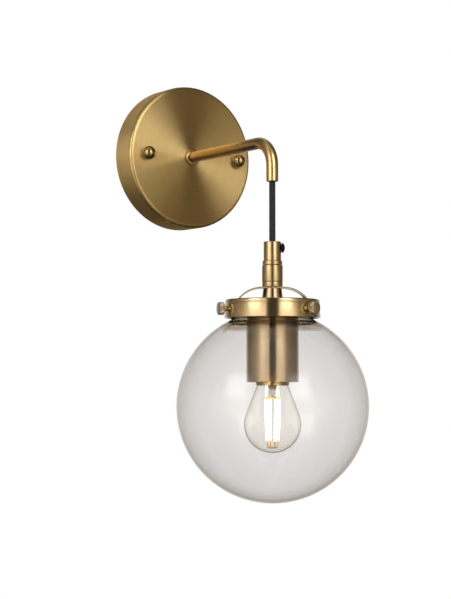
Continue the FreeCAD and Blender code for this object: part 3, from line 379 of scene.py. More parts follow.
# %% Material helpers
def material(name, code, alpha=1.0):
    """A new material with an empty tree. The hex code is its colour in the plain viewport."""
    new = bpy.data.materials.new(name)
    new.diffuse_color = (*colour(code)[:3], alpha)
    return new, empty_tree(new)


def on_lathe(tree):
    """The place of a point in its piece's own axes, its height and its distance from the turning axis."""
    spot = add(tree, "TexCoord").outputs["Object"]
    level = add(tree, "SeparateXYZ", {0: spot}).outputs[2]
    across = add(tree, "VectorMath", {0: spot, 1: (1, 1, 0)}, operation="MULTIPLY")
    radius = add(tree, "VectorMath", {0: across}, operation="LENGTH").outputs["Value"]
    return spot, level, radius


# %% [markdown]
# ## Cord fabric
# The lamp hangs on a round mains cord in a woven sleeve: dark threads run round it both ways and cross,
# so the surface is a net of small diamonds, from thread bundles about 1.3 mm wide. The tube carries a UV
# map in millimetres, along it and round it. Two crossing waves make the diamonds, and their product lifts
# each bundle a little.

# %% Cord fabric
CORD_DIAMETER, BUNDLE, FIBRES_PER_MM = 5.0, 1.3, 6.0
cord_fabric, tree = material("woven cotton cord sleeve", "#38353A")
place = add(tree, "UVMap", uv_map="weave")
flat = add(tree, "SeparateXYZ", {0: place}).outputs
waves = []
for crossing in ("ADD", "SUBTRACT"):
    lean = add(tree, "Math", {0: flat[0], 1: flat[1]}, operation=crossing)
    turn = add(tree, "Math", {0: lean, 1: pi / BUNDLE}, operation="MULTIPLY")
    waves.append(add(tree, "Math", {0: turn}, operation="SINE"))
net = add(tree, "Math", {0: waves[0], 1: waves[1]}, operation="MULTIPLY")
fibre = add(tree, "TexNoise", {"Vector": place, "Scale": FIBRES_PER_MM, "Detail": 3.0})
height = add(tree, "Math", {0: fibre, 1: 0.6, 2: net}, operation="MULTIPLY_ADD")
raised = add(tree, "MapRange", {0: height, 1: -0.7, 2: 1.3})
# Painted shade: the colour follows the weave's height, darker where threads lie low between raised bundles;
# the fibre noise varies the tone at random.
weave_tone_and_shade = add(tree, "Mix", {0: raised, 6: "#141216", 7: "#3A373C"}, data_type="RGBA").outputs[2]
relief = add(tree, "Bump", {"Height": height, "Strength": 0.8, "Distance": 0.0002})
sleeve = add(tree, "BsdfPrincipled", {"Base Color": weave_tone_and_shade, "Roughness": 0.82, "Sheen Weight": 0.25,
                                      "Normal": relief})
add(tree, "OutputMaterial", {"Surface": sleeve})
print("thread bundles", BUNDLE, "mm wide")

# %% [markdown]
# ## The cord itself
# The cord is one length of flexible cord: out of the terminal block behind the plate, forward through the
# bent arm, down through its mouth, taut to the cord grip and on into the threaded tube below. A smooth
# spline gives its line. It is made in two tubes that meet halfway down the drop: the upper one passes
# the arm's mouth, the lower one the grip.

# %% Cord lines
BLOCK_TOP, CORD_MIDDLE, CORD_END = -13.5, -56.4, -99.8


def smooth_line(points):
    """Points in metres along a smooth spline with these control points, given in millimetres."""
    curve = bpy.data.curves.new("line", "CURVE")
    curve.dimensions = "3D"
    spline = curve.splines.new("NURBS")
    spline.points.add(len(points) - 1)
    for control, point in zip(spline.points, points):
        control.co = (*[v / 1000 for v in point], 1)
    spline.order_u = 3
    spline.use_endpoint_u = True
    spline.resolution_u = 24
    holder = put("line", curve)
    mesh = bpy.data.meshes.new_from_object(holder)
    line = [v.co.copy() for v in mesh.vertices]
    for block, owner in ((holder, bpy.data.objects), (curve, bpy.data.curves), (mesh, bpy.data.meshes)):
        owner.remove(block)
    return line


def line_length(line):
    return sum((b - a).length for a, b in zip(line, line[1:]))


upper_line = smooth_line([(0, -6, BLOCK_TOP), (0, -6, 0), (0, -30, 0), (0, -101, 0), (0, -REACH, 0),
                          (0, -REACH, -40), (0, -REACH, CORD_MIDDLE)])
lower_line = smooth_line([(0, -REACH, CORD_MIDDLE), (0, -REACH, -78), (0, -REACH, CORD_END)])
print("cords of %.1f and %.1f mm" % tuple(1000 * line_length(line) for line in (upper_line, lower_line)))


# %% Rings of points
def circle(middle, ahead, side, radius, around):
    """Points round a line that runs ahead."""
    up = ahead.cross(side)
    return [middle + (side * cos(angle) + up * sin(angle)) * radius
            for angle in (2 * pi * k / around for k in range(around))]


def ring_faces(rows, around, closed=False):
    """Faces between rings of points that follow one another. closed joins the last ring to the first."""
    faces = []
    for row in range(rows if closed else rows - 1):
        a, b = row * around, (row + 1) % rows * around
        faces += [(a + k, a + (k + 1) % around, b + (k + 1) % around, b + k) for k in range(around)]
    return faces


# %% Cord tubes
CORD_AROUND = 28


def cord_tube(name, line):
    """A closed tube round a line, with a UV map called weave in millimetres: along it, then round it."""
    radius, around = CORD_DIAMETER / 2000, CORD_AROUND
    verts, along = [], []
    side, travelled = Vector((1, 0, 0)), 0.0
    for index, point in enumerate(line):
        ahead = (line[min(index + 1, len(line) - 1)] - line[max(index - 1, 0)]).normalized()
        side = (side - ahead * side.dot(ahead)).normalized()
        travelled += (point - line[index - 1]).length if index else 0.0
        verts += circle(point, ahead, side, radius, around)
        along.append(travelled * 1000)
    caps = [tuple(reversed(range(around))), tuple(range(len(verts) - around, len(verts)))]
    mesh = mesh_of(name, verts, ring_faces(len(line), around) + caps)
    weave = mesh.uv_layers.new(name="weave")
    girth = round(2 * pi * radius * 1000 / (2 * BUNDLE)) * 2 * BUNDLE
    across = [girth * k / around for k in range(around + 1)]
    chart = [(along[row + on], across[k + beside]) for row in range(len(line) - 1) for k in range(around)
             for on, beside in ((0, 0), (0, 1), (1, 1), (1, 0))]
    chart += [(along[0], v) for v in reversed(across[:-1])] + [(along[-1], v) for v in across[:-1]]
    for corner, spot in zip(weave.data, chart):
        corner.uv = spot
    mesh.materials.append(cord_fabric)
    mesh.shade_smooth()
    mesh.set_sharp_from_angle(angle=radians(50))
    return mesh


# %% Cords
def place_cord(name, line, nodes):
    piece = put(name, cord_tube(name, line))
    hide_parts(*nodes)
    return piece


upper_cord = place_cord("upper_cord", upper_line, ["cord_in_arm"])
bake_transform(upper_cord)
lower_cord = place_cord("lower_cord", lower_line, ["cord", "cord_in_grip"])
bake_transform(lower_cord)
print("cords:", upper_cord.name, lower_cord.name)

# %% [markdown]
# ## Brass, polished and lacquered
# The turned pieces and the gallery are brass that was buffed bright and lacquered. Brass is copper with
# about a third of zinc: it mirrors its surroundings in a warm yellow. Buffing leaves faint lines round
# the turn and a slight unevenness, which softens a mirror just enough that it doesn't look like a
# computer's chrome. A metal's tint comes from its base colour, and the roughness varies a little from
# place to place. Other numbers give the finely turned pieces, the paler strap and thumb screws, and the
# deeper ball nuts and collar.

# %% Recipe for brass
def brass(name, base, worn, rough, spread, line_size, line_depth, drag=0.6, painted_underside_shade=None):
    """Brass turned on a lathe. The lines run round its own Z axis, and drag stretches its gloss across them.
    The last argument, where there is one, is painted shade: a deeper colour for faces that look down."""
    new, tree = material(name, base)
    spot, level, radius = on_lathe(tree)
    cloud = add(tree, "TexNoise", {"Vector": spot, "Scale": per(14), "Detail": 3.0, "Roughness": 0.55})
    walk = add(tree, "Math", {0: level, 1: radius}, operation="ADD")
    lines = add(tree, "TexNoise", {"W": walk, "Scale": per(line_size), "Detail": 2.0}, noise_dimensions="1D")
    wear = add(tree, "MapRange", {0: cloud, 1: 0.35, 2: 0.75})
    hue = add(tree, "Mix", {0: wear, 6: base, 7: worn}, data_type="RGBA").outputs[2]
    # Painted shade: faces that look down get a deeper base colour, for the dark below them.
    if painted_underside_shade:
        upright = add(tree, "SeparateXYZ", {0: add(tree, "NewGeometry").outputs["Normal"]}).outputs[2]
        down = add(tree, "MapRange", {0: upright, 1: -0.6, 2: -0.25, 3: 1.0, 4: 0.0})
        hue = add(tree, "Mix", {0: down, 6: hue, 7: painted_underside_shade}, data_type="RGBA").outputs[2]
    haze = add(tree, "MapRange", {0: cloud, 1: 0.3, 2: 0.7, 3: rough - spread, 4: rough + spread})
    turn = add(tree, "Tangent", direction_type="RADIAL", axis="Z")
    relief = add(tree, "Bump", {"Height": lines, "Strength": line_depth, "Distance": 0.00002})
    metal = add(tree, "BsdfPrincipled", {"Base Color": hue, "Metallic": 1.0, "Roughness": haze,
                                         "Anisotropic": drag, "Anisotropic Rotation": 0.25, "Tangent": turn,
                                         "Coat Weight": 0.8, "Coat Roughness": 0.12, "Normal": relief})
    add(tree, "OutputMaterial", {"Surface": metal})
    return new


# %% Polished brass
turned_brass = brass("fine turned brass", "#D6BB8A", "#C8AB7A", 0.3, 0.02, 1.5, 0.03, drag=0.45)
pale_brass = brass("brushed strap brass", "#DCCDAE", "#CDBB98", 0.42, 0.03, 1.5, 0.05, drag=0.0)
polished_brass = brass("polished lacquered brass", "#E0C798", "#D4BA88", 0.2, 0.03, 1.5, 0.05)
# The deeper base colour of this brass, used for the ball nuts and collar, is painted shade for the dark room
# that they mirror.
mirror_brass = brass("mirror polished brass", "#C4A872", "#B3965F", 0.12, 0.02, 1.5, 0.03, drag=0.0)
print("turned, pale, polished and mirror brass")

# %% [markdown]
# ## Brass, satin
# The cup round the lampholder is brushed softer while it turns: the same metal, but its mirror is blurred,
# and far more up and down than round. A rougher surface with a strong drag across its lines gives that.

# %% Satin brass
satin_brass = brass("satin brushed brass", "#EDD3AC", "#E4C8A0", 0.3, 0.01, 1.2, 0.02, drag=0.92)
print("satin brass, roughness about 0.3")

# %% [markdown]
# ## Brass, spun and brushed
# The wall plate is a spun disc, brushed while it turned, so thousands of fine circles run round its
# centre. Each scatters light across itself but not along itself, so such a disc shows a bow tie of light
# through its centre. The shader's anisotropy does exactly this, given a tangent that runs round the axis.
# The circles that the eye can tell apart are a noise of the radius, about 0.6 mm apart, coarser than the
# real brushing so that they show. The rounded edge was buffed once more, so it catches a bright line.

# %% Spun brass
BRUSHED, BUFFED = 0.44, 0.24
spun_brass, tree = material("spun brushed brass", "#C8AF78")
_, level, radius = on_lathe(tree)
walk = add(tree, "Math", {0: radius, 1: level}, operation="SUBTRACT")
circles = add(tree, "TexNoise", {"W": walk, "Scale": per(0.6), "Detail": 4.0, "Roughness": 0.7},
              noise_dimensions="1D")
bands = add(tree, "TexNoise", {"W": walk, "Scale": per(7), "Detail": 1.0}, noise_dimensions="1D")
mixed = add(tree, "Math", {0: bands, 1: 0.35, 2: circles}, operation="MULTIPLY_ADD")
wear = add(tree, "MapRange", {0: mixed, 1: 0.35, 2: 1.0})
hue = add(tree, "Mix", {0: wear, 6: "#DCC086", 7: "#C8AB70"}, data_type="RGBA").outputs[2]
near_rim = add(tree, "MapRange", {0: radius, 1: 0.0563, 2: 0.0577})
near_front = add(tree, "MapRange", {0: level, 1: 0.0203, 2: 0.0217})
edge = add(tree, "Math", {0: near_rim, 1: near_front}, operation="MULTIPLY")
haze = add(tree, "MapRange", {0: edge, 3: BRUSHED, 4: BUFFED})
turn = add(tree, "Tangent", direction_type="RADIAL", axis="Z")
relief = add(tree, "Bump", {"Height": circles, "Strength": 0.35, "Distance": 0.00003})
metal = add(tree, "BsdfPrincipled", {"Base Color": hue, "Metallic": 1.0, "Roughness": haze,
                                     "Anisotropic": 1.0, "Anisotropic Rotation": 0.25, "Tangent": turn,
                                     "Normal": relief})
add(tree, "OutputMaterial", {"Surface": metal})
print("spun brass, full anisotropy")

# %% [markdown]
# ## Clear glass
# The globe is soda-lime glass with an IOR of 1.52. The outline of a glass ball shows because its wall is
# seen edge-on there, so globe and bulb are real shells with two faces. The bulb's wall is thinner than it
# can be modelled well, so a lower IOR keeps its outline faint. The tint follows the slant of the view.
# The globe's neck is thicker and stands in the dark of the gallery; that dark is painted shade, a dusky
# tint on the glass above the neck's height. For shadow rays the glass turns into a see-through film, so
# that the lamps light what is inside.

# %% Recipe for glass
def glass(name, tints, ior, waves, depth, rough=0.0, frost=0.0, neck=None, glow=0.0):
    """Blown glass. waves is the size of its unevenness in millimetres. tints run from the middle to the rim.
    frost is the share that scatters light like milk glass. Above the height neck the glass takes a dusky
    tint, painted shade for the dark of the gallery.
    glow is the faint veil of light on glass that has a lit lamp inside."""
    new, tree = material(name, tints[0][1], alpha=0.25)
    spot = add(tree, "TexCoord").outputs["Object"]
    tint = add(tree, "ValToRGB", {0: add(tree, "LayerWeight", {"Blend": 0.5}).outputs["Facing"]})
    fill_ramp(tint.color_ramp, tints)
    if neck is not None:
        # Painted shade: above the neck's height the tint turns dusky, for the dark of the gallery round the
        # neck.
        level = add(tree, "SeparateXYZ", {0: spot}).outputs[2]
        neck_shade_mask = add(tree, "MapRange", {0: level, 1: neck - 0.0005, 2: neck + 0.0005})
        tint = add(tree, "Mix", {0: neck_shade_mask, 6: tint, 7: "#B8AE9E"}, data_type="RGBA").outputs[2]
    uneven = add(tree, "TexNoise", {"Vector": spot, "Scale": per(waves), "Detail": 1.0})
    relief = add(tree, "Bump", {"Height": uneven, "Strength": depth, "Distance": 0.001})
    pane = add(tree, "BsdfPrincipled", {"Base Color": tint, "Roughness": rough, "IOR": ior,
                                        "Transmission Weight": 1.0 - frost, "Normal": relief,
                                        "Emission Color": "#FFE6D6", "Emission Strength": glow})
    shadow = add(tree, "LightPath").outputs["Is Shadow Ray"]
    film = add(tree, "BsdfTransparent", {"Color": tint})
    blown = add(tree, "MixShader", {0: shadow, 1: pane, 2: film})
    add(tree, "OutputMaterial", {"Surface": blown})
    return new


# %% Glass
globe_tints = [(0.0, "#F6F5F4"), (0.3, "#F3F2F1"), (0.6, "#F6F5F4"), (1.0, "#F2F2F2")]
globe_glass = glass("clear blown globe glass", globe_tints, 1.52, 40, 0.02, neck=-0.147)
lamp_tints = [(0.0, "#FFFEFC"), (0.6, "#FEFCFA"), (1.0, "#FAF9F7")]
lamp_glass = glass("clear bulb glass", lamp_tints, 1.22, 25, 0.01, glow=0.012)
stem_tints = [(0.0, "#FBF8F2"), (1.0, "#EAE4D8")]
stem_glass = glass("pressed lead glass", stem_tints, 1.56, 6, 0.05, rough=0.3, frost=0.3)
print("three kinds of clear glass")

# %% [markdown]
# ## Turned pieces
# Nearly every piece of this light was made on a lathe, by spinning or by blowing, so it is round. A
# turner thinks in outlines: half of the piece's section, drawn as radius and height, with a fillet where
# the tool rounded a corner. The helpers take such corners, round them, and turn the outline about its own
# Z axis. A carve function may push points in or out by angle, which later cuts knurls and a thread.

# %% Outline helpers
FILLET_STEPS, ON_AXIS = 5, 1e-4


def arc(centre, radius, start, end, steps):
    """Points on an arc in the outline, with angles in degrees from the radius direction."""
    turns = [radians(start + (end - start) * i / steps) for i in range(steps + 1)]
    return [(centre[0] + radius * cos(turn), centre[1] + radius * sin(turn)) for turn in turns]


def rounded(corners, closed):
    """Corners are (radius, height) or (radius, height, fillet), in millimetres."""
    outline = []
    for index, (r, h, *fillet) in enumerate(corners):
        here = Vector((r, h))
        if not fillet or (not closed and index in (0, len(corners) - 1)):
            outline.append(here)
            continue
        back = Vector(corners[index - 1][:2]) - here
        on = Vector(corners[(index + 1) % len(corners)][:2]) - here
        half = back.angle(on) / 2
        reach = min(fillet[0] / tan(half), 0.49 * back.length, 0.49 * on.length)
        size = reach * tan(half)
        back.normalize()
        on.normalize()
        centre = here + (back + on).normalized() * (size / sin(half))
        start, end = here + back * reach - centre, here + on * reach - centre
        sweep = pi - 2 * half
        for step in range(FILLET_STEPS + 1):
            t = step / FILLET_STEPS
            outline.append(centre + (start * sin((1 - t) * sweep) + end * sin(t * sweep)) / sin(sweep))
    return outline


# %% Turning
def turned(name, corners, closed=True, around=160, carve=None):
    """The outline turned about Z. A closed outline comes back to its first corner, as a ring's does."""
    rows, verts = [], []
    for r, h in rounded(corners, closed):
        if r < ON_AXIS:
            rows.append([len(verts)])
            verts.append((0, 0, h / 1000))
            continue
        rows.append(range(len(verts), len(verts) + around))
        for angle in (2 * pi * k / around for k in range(around)):
            reach = carve(r, h, angle) if carve else r
            verts.append((reach * cos(angle) / 1000, reach * sin(angle) / 1000, h / 1000))
    faces = []
    for low, high in list(zip(rows, rows[1:])) + ([(rows[-1], rows[0])] if closed else []):
        for k in range(around):
            n = (k + 1) % around
            ring = [low[k % len(low)], low[n % len(low)], high[n % len(high)], high[k % len(high)]]
            ring = [v for i, v in enumerate(ring) if v != ring[i - 1]]
            if len(ring) > 2:
                faces.append(ring)
    return mesh_of(name, verts, faces)


# %% Placing helpers
OFF_WALL = Matrix.Rotation(radians(90), 4, "X")
HANGING = Matrix.Translation(PENDANT / 1000)


def on_wall(x=0.0):
    """Turns a piece that was made along Z so that it stands out from the wall."""
    return Matrix.Translation((x / 1000, 0, 0)) @ OFF_WALL


def outwards(azimuth, height):
    """Points a piece away from the hanging axis. The azimuth runs from the room side to the right."""
    level = Matrix.Translation((PENDANT + Vector((0, 0, height))) / 1000)
    return level @ Matrix.Rotation(radians(azimuth), 4, "Z") @ OFF_WALL


def piece(mesh, paint, body, nodes, finish, place=HANGING, crease=30):
    """An object of the mesh, outward normals, smooth but for edges sharper than crease degrees."""
    shape = bmesh.new()
    shape.from_mesh(mesh)
    bmesh.ops.recalc_face_normals(shape, faces=shape.faces)
    shape.to_mesh(mesh)
    shape.free()
    mesh.materials.append(paint)
    mesh.shade_smooth()
    mesh.set_sharp_from_angle(angle=radians(crease))
    new = put(mesh.name, mesh, place)
    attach(new, body)
    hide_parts(*nodes)
    print(new.name, "has", len(mesh.polygons), "faces")
    return new


def lathe(name, outline, paint, body, node, finish, place=HANGING, crease=30, **turning):
    """A turned piece, made and placed in one step."""
    return piece(turned(name, outline, **turning), paint, body, [node], finish, place, crease)


# %% [markdown]
# ## Wall plate
# The canopy is a shallow cup that hides the bracket and the wires, spun from 1.2 mm sheet: a flat front,
# a rounded edge and a straight side. Its outline is closed, because its inside shows from behind.

# %% Canopy
PLATE_RADIUS, PLATE_DEPTH, SHEET = 60.0, 24.0, 1.2
PLATE_BORE, PLATE_BACK = PLATE_RADIUS - SHEET, PLATE_DEPTH - SHEET
canopy_outline = [(PLATE_BORE, 0), (PLATE_RADIUS, 0, 0.3), (PLATE_RADIUS, PLATE_DEPTH, 3.0), (0, PLATE_DEPTH),
                  (0, PLATE_BACK), (PLATE_BORE, PLATE_BACK, 1.8)]
canopy = lathe("spun_canopy", canopy_outline, spun_brass, "wall_mount", "canopy", "spun_brass", on_wall(),
               around=256)
plate_receivers.objects.link(canopy)

# %% [markdown]
# ## Ball nuts
# Two round nuts screw on the studs and press the canopy to its bracket. They are most of a ball on a
# short collar, and each mirrors the whole studio.

# %% Ball nuts
BALL, BALL_FOOT, BALL_STANDOFF, STUD = 5.6, 4.0, 1.0, 45
ball_foot_level = PLATE_DEPTH + BALL_STANDOFF
ball_centre = ball_foot_level + sqrt(BALL ** 2 - BALL_FOOT ** 2)
ball_start = degrees(asin((ball_foot_level - ball_centre) / BALL))
nut_outline = [(0, PLATE_DEPTH), (BALL_FOOT, PLATE_DEPTH, 0.2)]
nut_outline += arc((0, ball_centre), BALL, ball_start, 90, 26)
for side, x in (("left", -STUD), ("right", STUD)):
    lathe(side + "_ball_nut", nut_outline, mirror_brass, "wall_mount", "ball_nut_" + side, "polished_brass",
          on_wall(x), closed=False, around=64)

# %% [markdown]
# ## Arm
# The arm is a brass tube, bent once over a former of 20 mm radius. Its open lower end shows the wall and
# the bore, so rings of points are placed along it, outside first and then back along the bore. Its
# underside has painted shade: faces that look down get a deeper brown base colour, for the dark room
# below that the tube would mirror.

# %% Middle line of the arm
ARM_RADIUS, ARM_BORE, BEND, INNER_END, MOUTH = 4.75, 3.75, 20.0, 16.0, -32.4
straight_out = REACH - BEND - INNER_END
bend_end = straight_out + BEND * pi / 2
arm_length = bend_end - MOUTH - BEND


def along_arm(distance):
    """The arm's middle line, in the plane of the wall's normal: place and direction."""
    if distance <= straight_out:
        return Vector((0, -INNER_END - distance, 0)), Vector((0, -1, 0))
    if distance <= bend_end:
        turn = (distance - straight_out) / BEND
        return (Vector((0, -REACH + BEND - BEND * sin(turn), -BEND + BEND * cos(turn))),
                Vector((0, -cos(turn), -sin(turn))))
    return Vector((0, -REACH, -BEND - (distance - bend_end))), Vector((0, 0, -1))


print("arm of %.1f mm along its middle line" % arm_length)

# %% Arm
ARM_AROUND, BEND_STEPS, BREAK, BORE_BREAK = 64, 24, 0.3, 0.15
bend_stations = [straight_out + (bend_end - straight_out) * i / BEND_STEPS for i in range(1, BEND_STEPS + 1)]
stations = [BREAK, 40, 80, straight_out] + bend_stations + [arm_length - BREAK]
sections = [(0.0, ARM_RADIUS - BREAK)] + [(s, ARM_RADIUS) for s in stations]
sections += [(arm_length, ARM_RADIUS - BREAK)]
sections += [(arm_length, ARM_BORE + BORE_BREAK), (arm_length - BORE_BREAK, ARM_BORE)]
sections += [(s, ARM_BORE) for s in reversed(stations[:-1])]
verts = []
for distance, radius in sections:
    verts += [point / 1000 for point in circle(*along_arm(distance), Vector((1, 0, 0)), radius, ARM_AROUND)]
arm_mesh = mesh_of("bent_arm", verts, ring_faces(len(sections), ARM_AROUND, closed=True))
# The underside colour #6B4B22 is painted shade for the dark room below the tube.
arm_brass = brass("drawn brass tube", "#E6C88C", "#DAB97B", 0.26, 0.01, 3.0, 0.05, drag=0.0, painted_underside_shade="#6B4B22")
arm = piece(arm_mesh, arm_brass, "wall_mount", ["arm_tube"], "polished_brass", Matrix())
plate_receivers.objects.link(arm)

# %% Arm collar
COLLAR, COLLAR_FACE = 7, PLATE_DEPTH + 3
collar_outline = [(ARM_RADIUS, PLATE_DEPTH), (COLLAR, PLATE_DEPTH, 0.2), (COLLAR, COLLAR_FACE, 1.5),
                  (ARM_RADIUS, COLLAR_FACE)]
lathe("arm_collar_ring", collar_outline, mirror_brass, "wall_mount", "arm_collar", "polished_brass",
      on_wall(), around=96)

# %% [markdown]
# ## Black plastic
# The liner in the arm's mouth is moulded nylon, which is a dark grey with a soft shine and a faint grain.
# The same recipe gives the other insulators.

# %% Black plastic
def moulded(name, base, rough, grain, ior=1.5):
    """Moulded plastic. grain is the size of its surface texture in millimetres."""
    new, tree = material(name, base)
    spot = add(tree, "TexCoord").outputs["Object"]
    fine = add(tree, "TexNoise", {"Vector": spot, "Scale": per(grain), "Detail": 3.0})
    broad = add(tree, "TexNoise", {"Vector": spot, "Scale": per(grain * 20), "Detail": 1.0})
    dark = (*[c * 0.85 for c in colour(base)[:3]], 1)
    hue = add(tree, "Mix", {0: broad, 6: base, 7: dark}, data_type="RGBA").outputs[2]
    haze = add(tree, "MapRange", {0: fine, 1: 0.3, 2: 0.7, 3: rough - 0.06, 4: rough + 0.06})
    relief = add(tree, "Bump", {"Height": fine, "Strength": 0.15, "Distance": 0.00005})
    plastic = add(tree, "BsdfPrincipled", {"Base Color": hue, "IOR": ior, "Roughness": haze,
                                           "Normal": relief})
    add(tree, "OutputMaterial", {"Surface": plastic})
    return new


# %% Liner in the arm's mouth
LINER_BORE, LINER_TOP, LINER_BEVEL = 3.2, MOUTH + 11, 1.0
black_nylon = moulded("black moulded nylon", "#1E1D1E", 0.45, 0.3)
liner_outline = [(LINER_BORE, MOUTH + LINER_BEVEL), (ARM_BORE - 0.05, MOUTH, 0.2), (ARM_BORE, MOUTH),
                 (ARM_BORE, LINER_TOP), (LINER_BORE, LINER_TOP)]
lathe("mouth_liner", liner_outline, black_nylon, "wall_mount", "cord_bush", "black_plastic", around=64)

# %% [markdown]
# ## Cord grip, coupling and lock ring
# Three turned pieces sit on top of each other: the grip with its small foot, the plain coupling and the
# flat lock ring. The turner broke each edge by a few tenths of a millimetre, and those bevels catch the
# light and separate the three by thin dark lines.

# %% Cord grip
GRIP, GRIP_FOOT, GRIP_TOP, GRIP_BOTTOM, GRIP_FLOOR = 6.9, 7.8, -79.9, -98.2, -89.1
CORD_HOLE, CORD_MOUTH, NIPPLE_HOLE = 2.7, 3.4, 5.05
grip_outline = [(3.9, GRIP_TOP, 0.15), (GRIP, GRIP_TOP, 0.5), (GRIP, GRIP_BOTTOM + 3.6, 0.1),
                (GRIP_FOOT, GRIP_BOTTOM + 3.0, 0.2), (GRIP_FOOT, GRIP_BOTTOM, 0.3),
                (NIPPLE_HOLE, GRIP_BOTTOM), (NIPPLE_HOLE, GRIP_FLOOR), (CORD_HOLE, GRIP_FLOOR),
                (CORD_HOLE, -83.5), (CORD_MOUTH, -83.1), (CORD_MOUTH, -80.9)]
lathe("turned_cord_grip", grip_outline, turned_brass, "grip", "cord_grip", "polished_brass", around=128)

# %% Coupling and lock ring
NIPPLE, COLLAR_BREAK = 5, 0.45
for name, radius, top, bottom in (("coupling", 8.2, -98.5, -111.4), ("lock_ring", 8.1, -111.4, -115.5)):
    outline = [(NIPPLE, top), (radius, top, COLLAR_BREAK), (radius, bottom, COLLAR_BREAK), (NIPPLE, bottom)]
    lathe("turned_" + name, outline, turned_brass, "shade", name, "polished_brass", around=128)

# %% [markdown]
# ## Grip screw
# The black screw beside the cord is a small domed knob on a shank, finished in black oxide: still a
# metal, but nearly without colour and half matt.

# %% Black steel
def small_metal(name, look, first, second, size, detail, metallic, smooth, rough, **glow):
    """Metal whose tone and gloss vary together. size is that of its patches in millimetres."""
    new, tree = material(name, look)
    spot = add(tree, "TexCoord").outputs["Object"]
    cloud = add(tree, "TexNoise", {"Vector": spot, "Scale": per(size), "Detail": detail})
    hue = add(tree, "Mix", {0: cloud, 6: first, 7: second}, data_type="RGBA").outputs[2]
    haze = add(tree, "MapRange", {0: cloud, 1: 0.3, 2: 0.7, 3: smooth, 4: rough})
    metal = add(tree, "BsdfPrincipled", {"Base Color": hue, "Metallic": metallic, "Roughness": haze, **glow})
    add(tree, "OutputMaterial", {"Surface": metal})
    return new


black_steel = small_metal("black oxide steel", "#2A2A2C", "#353436", "#1D1C1E", 0.8, 4.0, 0.9, 0.32, 0.5)
print("black steel, nine tenths metallic")

# %% Grip screw
KNOB, KNOB_SEAT, KNOB_TOP, KNOB_RISE, SHANK = 3.7, 7.2, 9.9, 1.35, 1.7
dome = (KNOB ** 2 + KNOB_RISE ** 2) / (2 * KNOB_RISE)
knob_outline = [(0, 2.8), (1.2, 2.8), (SHANK, 3.3), (SHANK, KNOB_SEAT), (KNOB, KNOB_SEAT, 0.2)]
knob_outline += arc((0, KNOB_TOP - dome), dome, degrees(acos(KNOB / dome)), 90, 12)
lathe("grip_knob", knob_outline, black_steel, "grip_screw", "grip_screw", "black_plastic",
      outwards(60.0, -84.7), closed=False, around=64)

# %% [markdown]
# ## Bridge
# A thin brass strap carries the gallery. It is flat where the lock ring clamps it, then falls in two
# bends to flat feet that are brazed inside the ring. It is seen nearly edge-on, so its 1.2 mm thickness
# matters more than its 13 mm width.

# %% Bridge
STRAP_PAD, STRAP_TOP, STRAP, STRAP_RADIUS, STRAP_WIDTH = 8.3, -115.5, 1.2, 24.0, 13.0
FOOT_START, FOOT_TOP, GALLERY_INSIDE, SLICES, BRIDGE_AZIMUTH = 32, -126.7, 35.0, 12, 59.0


def strap_line(radius, level, inside):
    """The strap's upper or lower line: the flat middle, a bend to each side and the feet."""
    drop = STRAP_TOP - STRAP_RADIUS
    last = degrees(asin((level - drop) / radius))
    half = [(0, drop + radius)] + arc((STRAP_PAD, drop), radius, 90, last, 20)
    half += [(FOOT_START, level), (inside, level)]
    return [(-u, h) for u, h in reversed(half[1:])] + half


verts = []
for j in range(SLICES + 1):
    w = STRAP_WIDTH * (j / SLICES - 0.5)
    inside = sqrt(GALLERY_INSIDE ** 2 - w ** 2)
    upper = strap_line(STRAP_RADIUS, FOOT_TOP, inside)
    lower = strap_line(STRAP_RADIUS - STRAP, FOOT_TOP - STRAP, inside)
    verts += [(u / 1000, w / 1000, h / 1000) for u, h in upper + list(reversed(lower))]
count = len(upper) + len(lower)
faces = ring_faces(SLICES + 1, count)
for a in (0, SLICES * count):
    b = a + count - 1
    faces += [(a + k, a + k + 1, b - 1 - k, b - k) for k in range(len(upper) - 1)]
piece(mesh_of("bridge_strap", verts, faces), pale_brass, "shade", ["bridge"], "polished_brass",
      HANGING @ Matrix.Rotation(radians(BRIDGE_AZIMUTH - 90), 4, "Z"))

# %% [markdown]
# ## Gallery ring
# The gallery is a heavy polished ring, slightly wider at its foot, with a well rounded upper edge and a
# fine groove under it. Nobody polishes the inside of such a ring, so its inner faces get a second
# material: rough, dull brass as it comes from the mould, with a base colour made much darker as painted
# shade for the dark inside the ring.

# %% Gallery ring
TOP, FOOT, LOW, HIGH, WALL, GROOVE_DROP, GROOVE_DEPTH = -125.4, -139.9, 37.6, 36.9, 1.9, 2.9, 0.25
groove = TOP - GROOVE_DROP
gallery_outline = [(HIGH - WALL, TOP, 0.2), (HIGH, TOP, 1.4), (HIGH + 0.13, groove + 0.35, 0.15),
                   (HIGH - GROOVE_DEPTH, groove + 0.15, 0.1), (HIGH - GROOVE_DEPTH, groove - 0.15, 0.1),
                   (HIGH + 0.15, groove - 0.35, 0.15), (LOW, FOOT, 0.5), (LOW - WALL, FOOT, 0.2)]
gallery = lathe("polished_gallery", gallery_outline, polished_brass, "shade", "gallery_ring",
                "polished_brass", around=256)
# Partly real and partly painted: the roughness is the unpolished inside, and the very dark base colour is
# painted shade for the inside of the ring.
inner_shaded_brass = brass("unpolished brass with painted shade", "#6E5736", "#543F24", 0.5, 0.08, 2.0, 0.3, drag=0.0)
gallery.data.materials.append(inner_shaded_brass)
for face in gallery.data.polygons:
    if hypot(face.center.x, face.center.y) < (LOW - WALL + 0.35) / 1000:
        face.material_index = 1

# %% [markdown]
# ## Thumb screws
# Three screws hold the globe by its lip. Their heads are knurled straight so that wet fingers can turn
# them: the carve function pulls the rim in and out 22 times, and less near its two rounded faces.

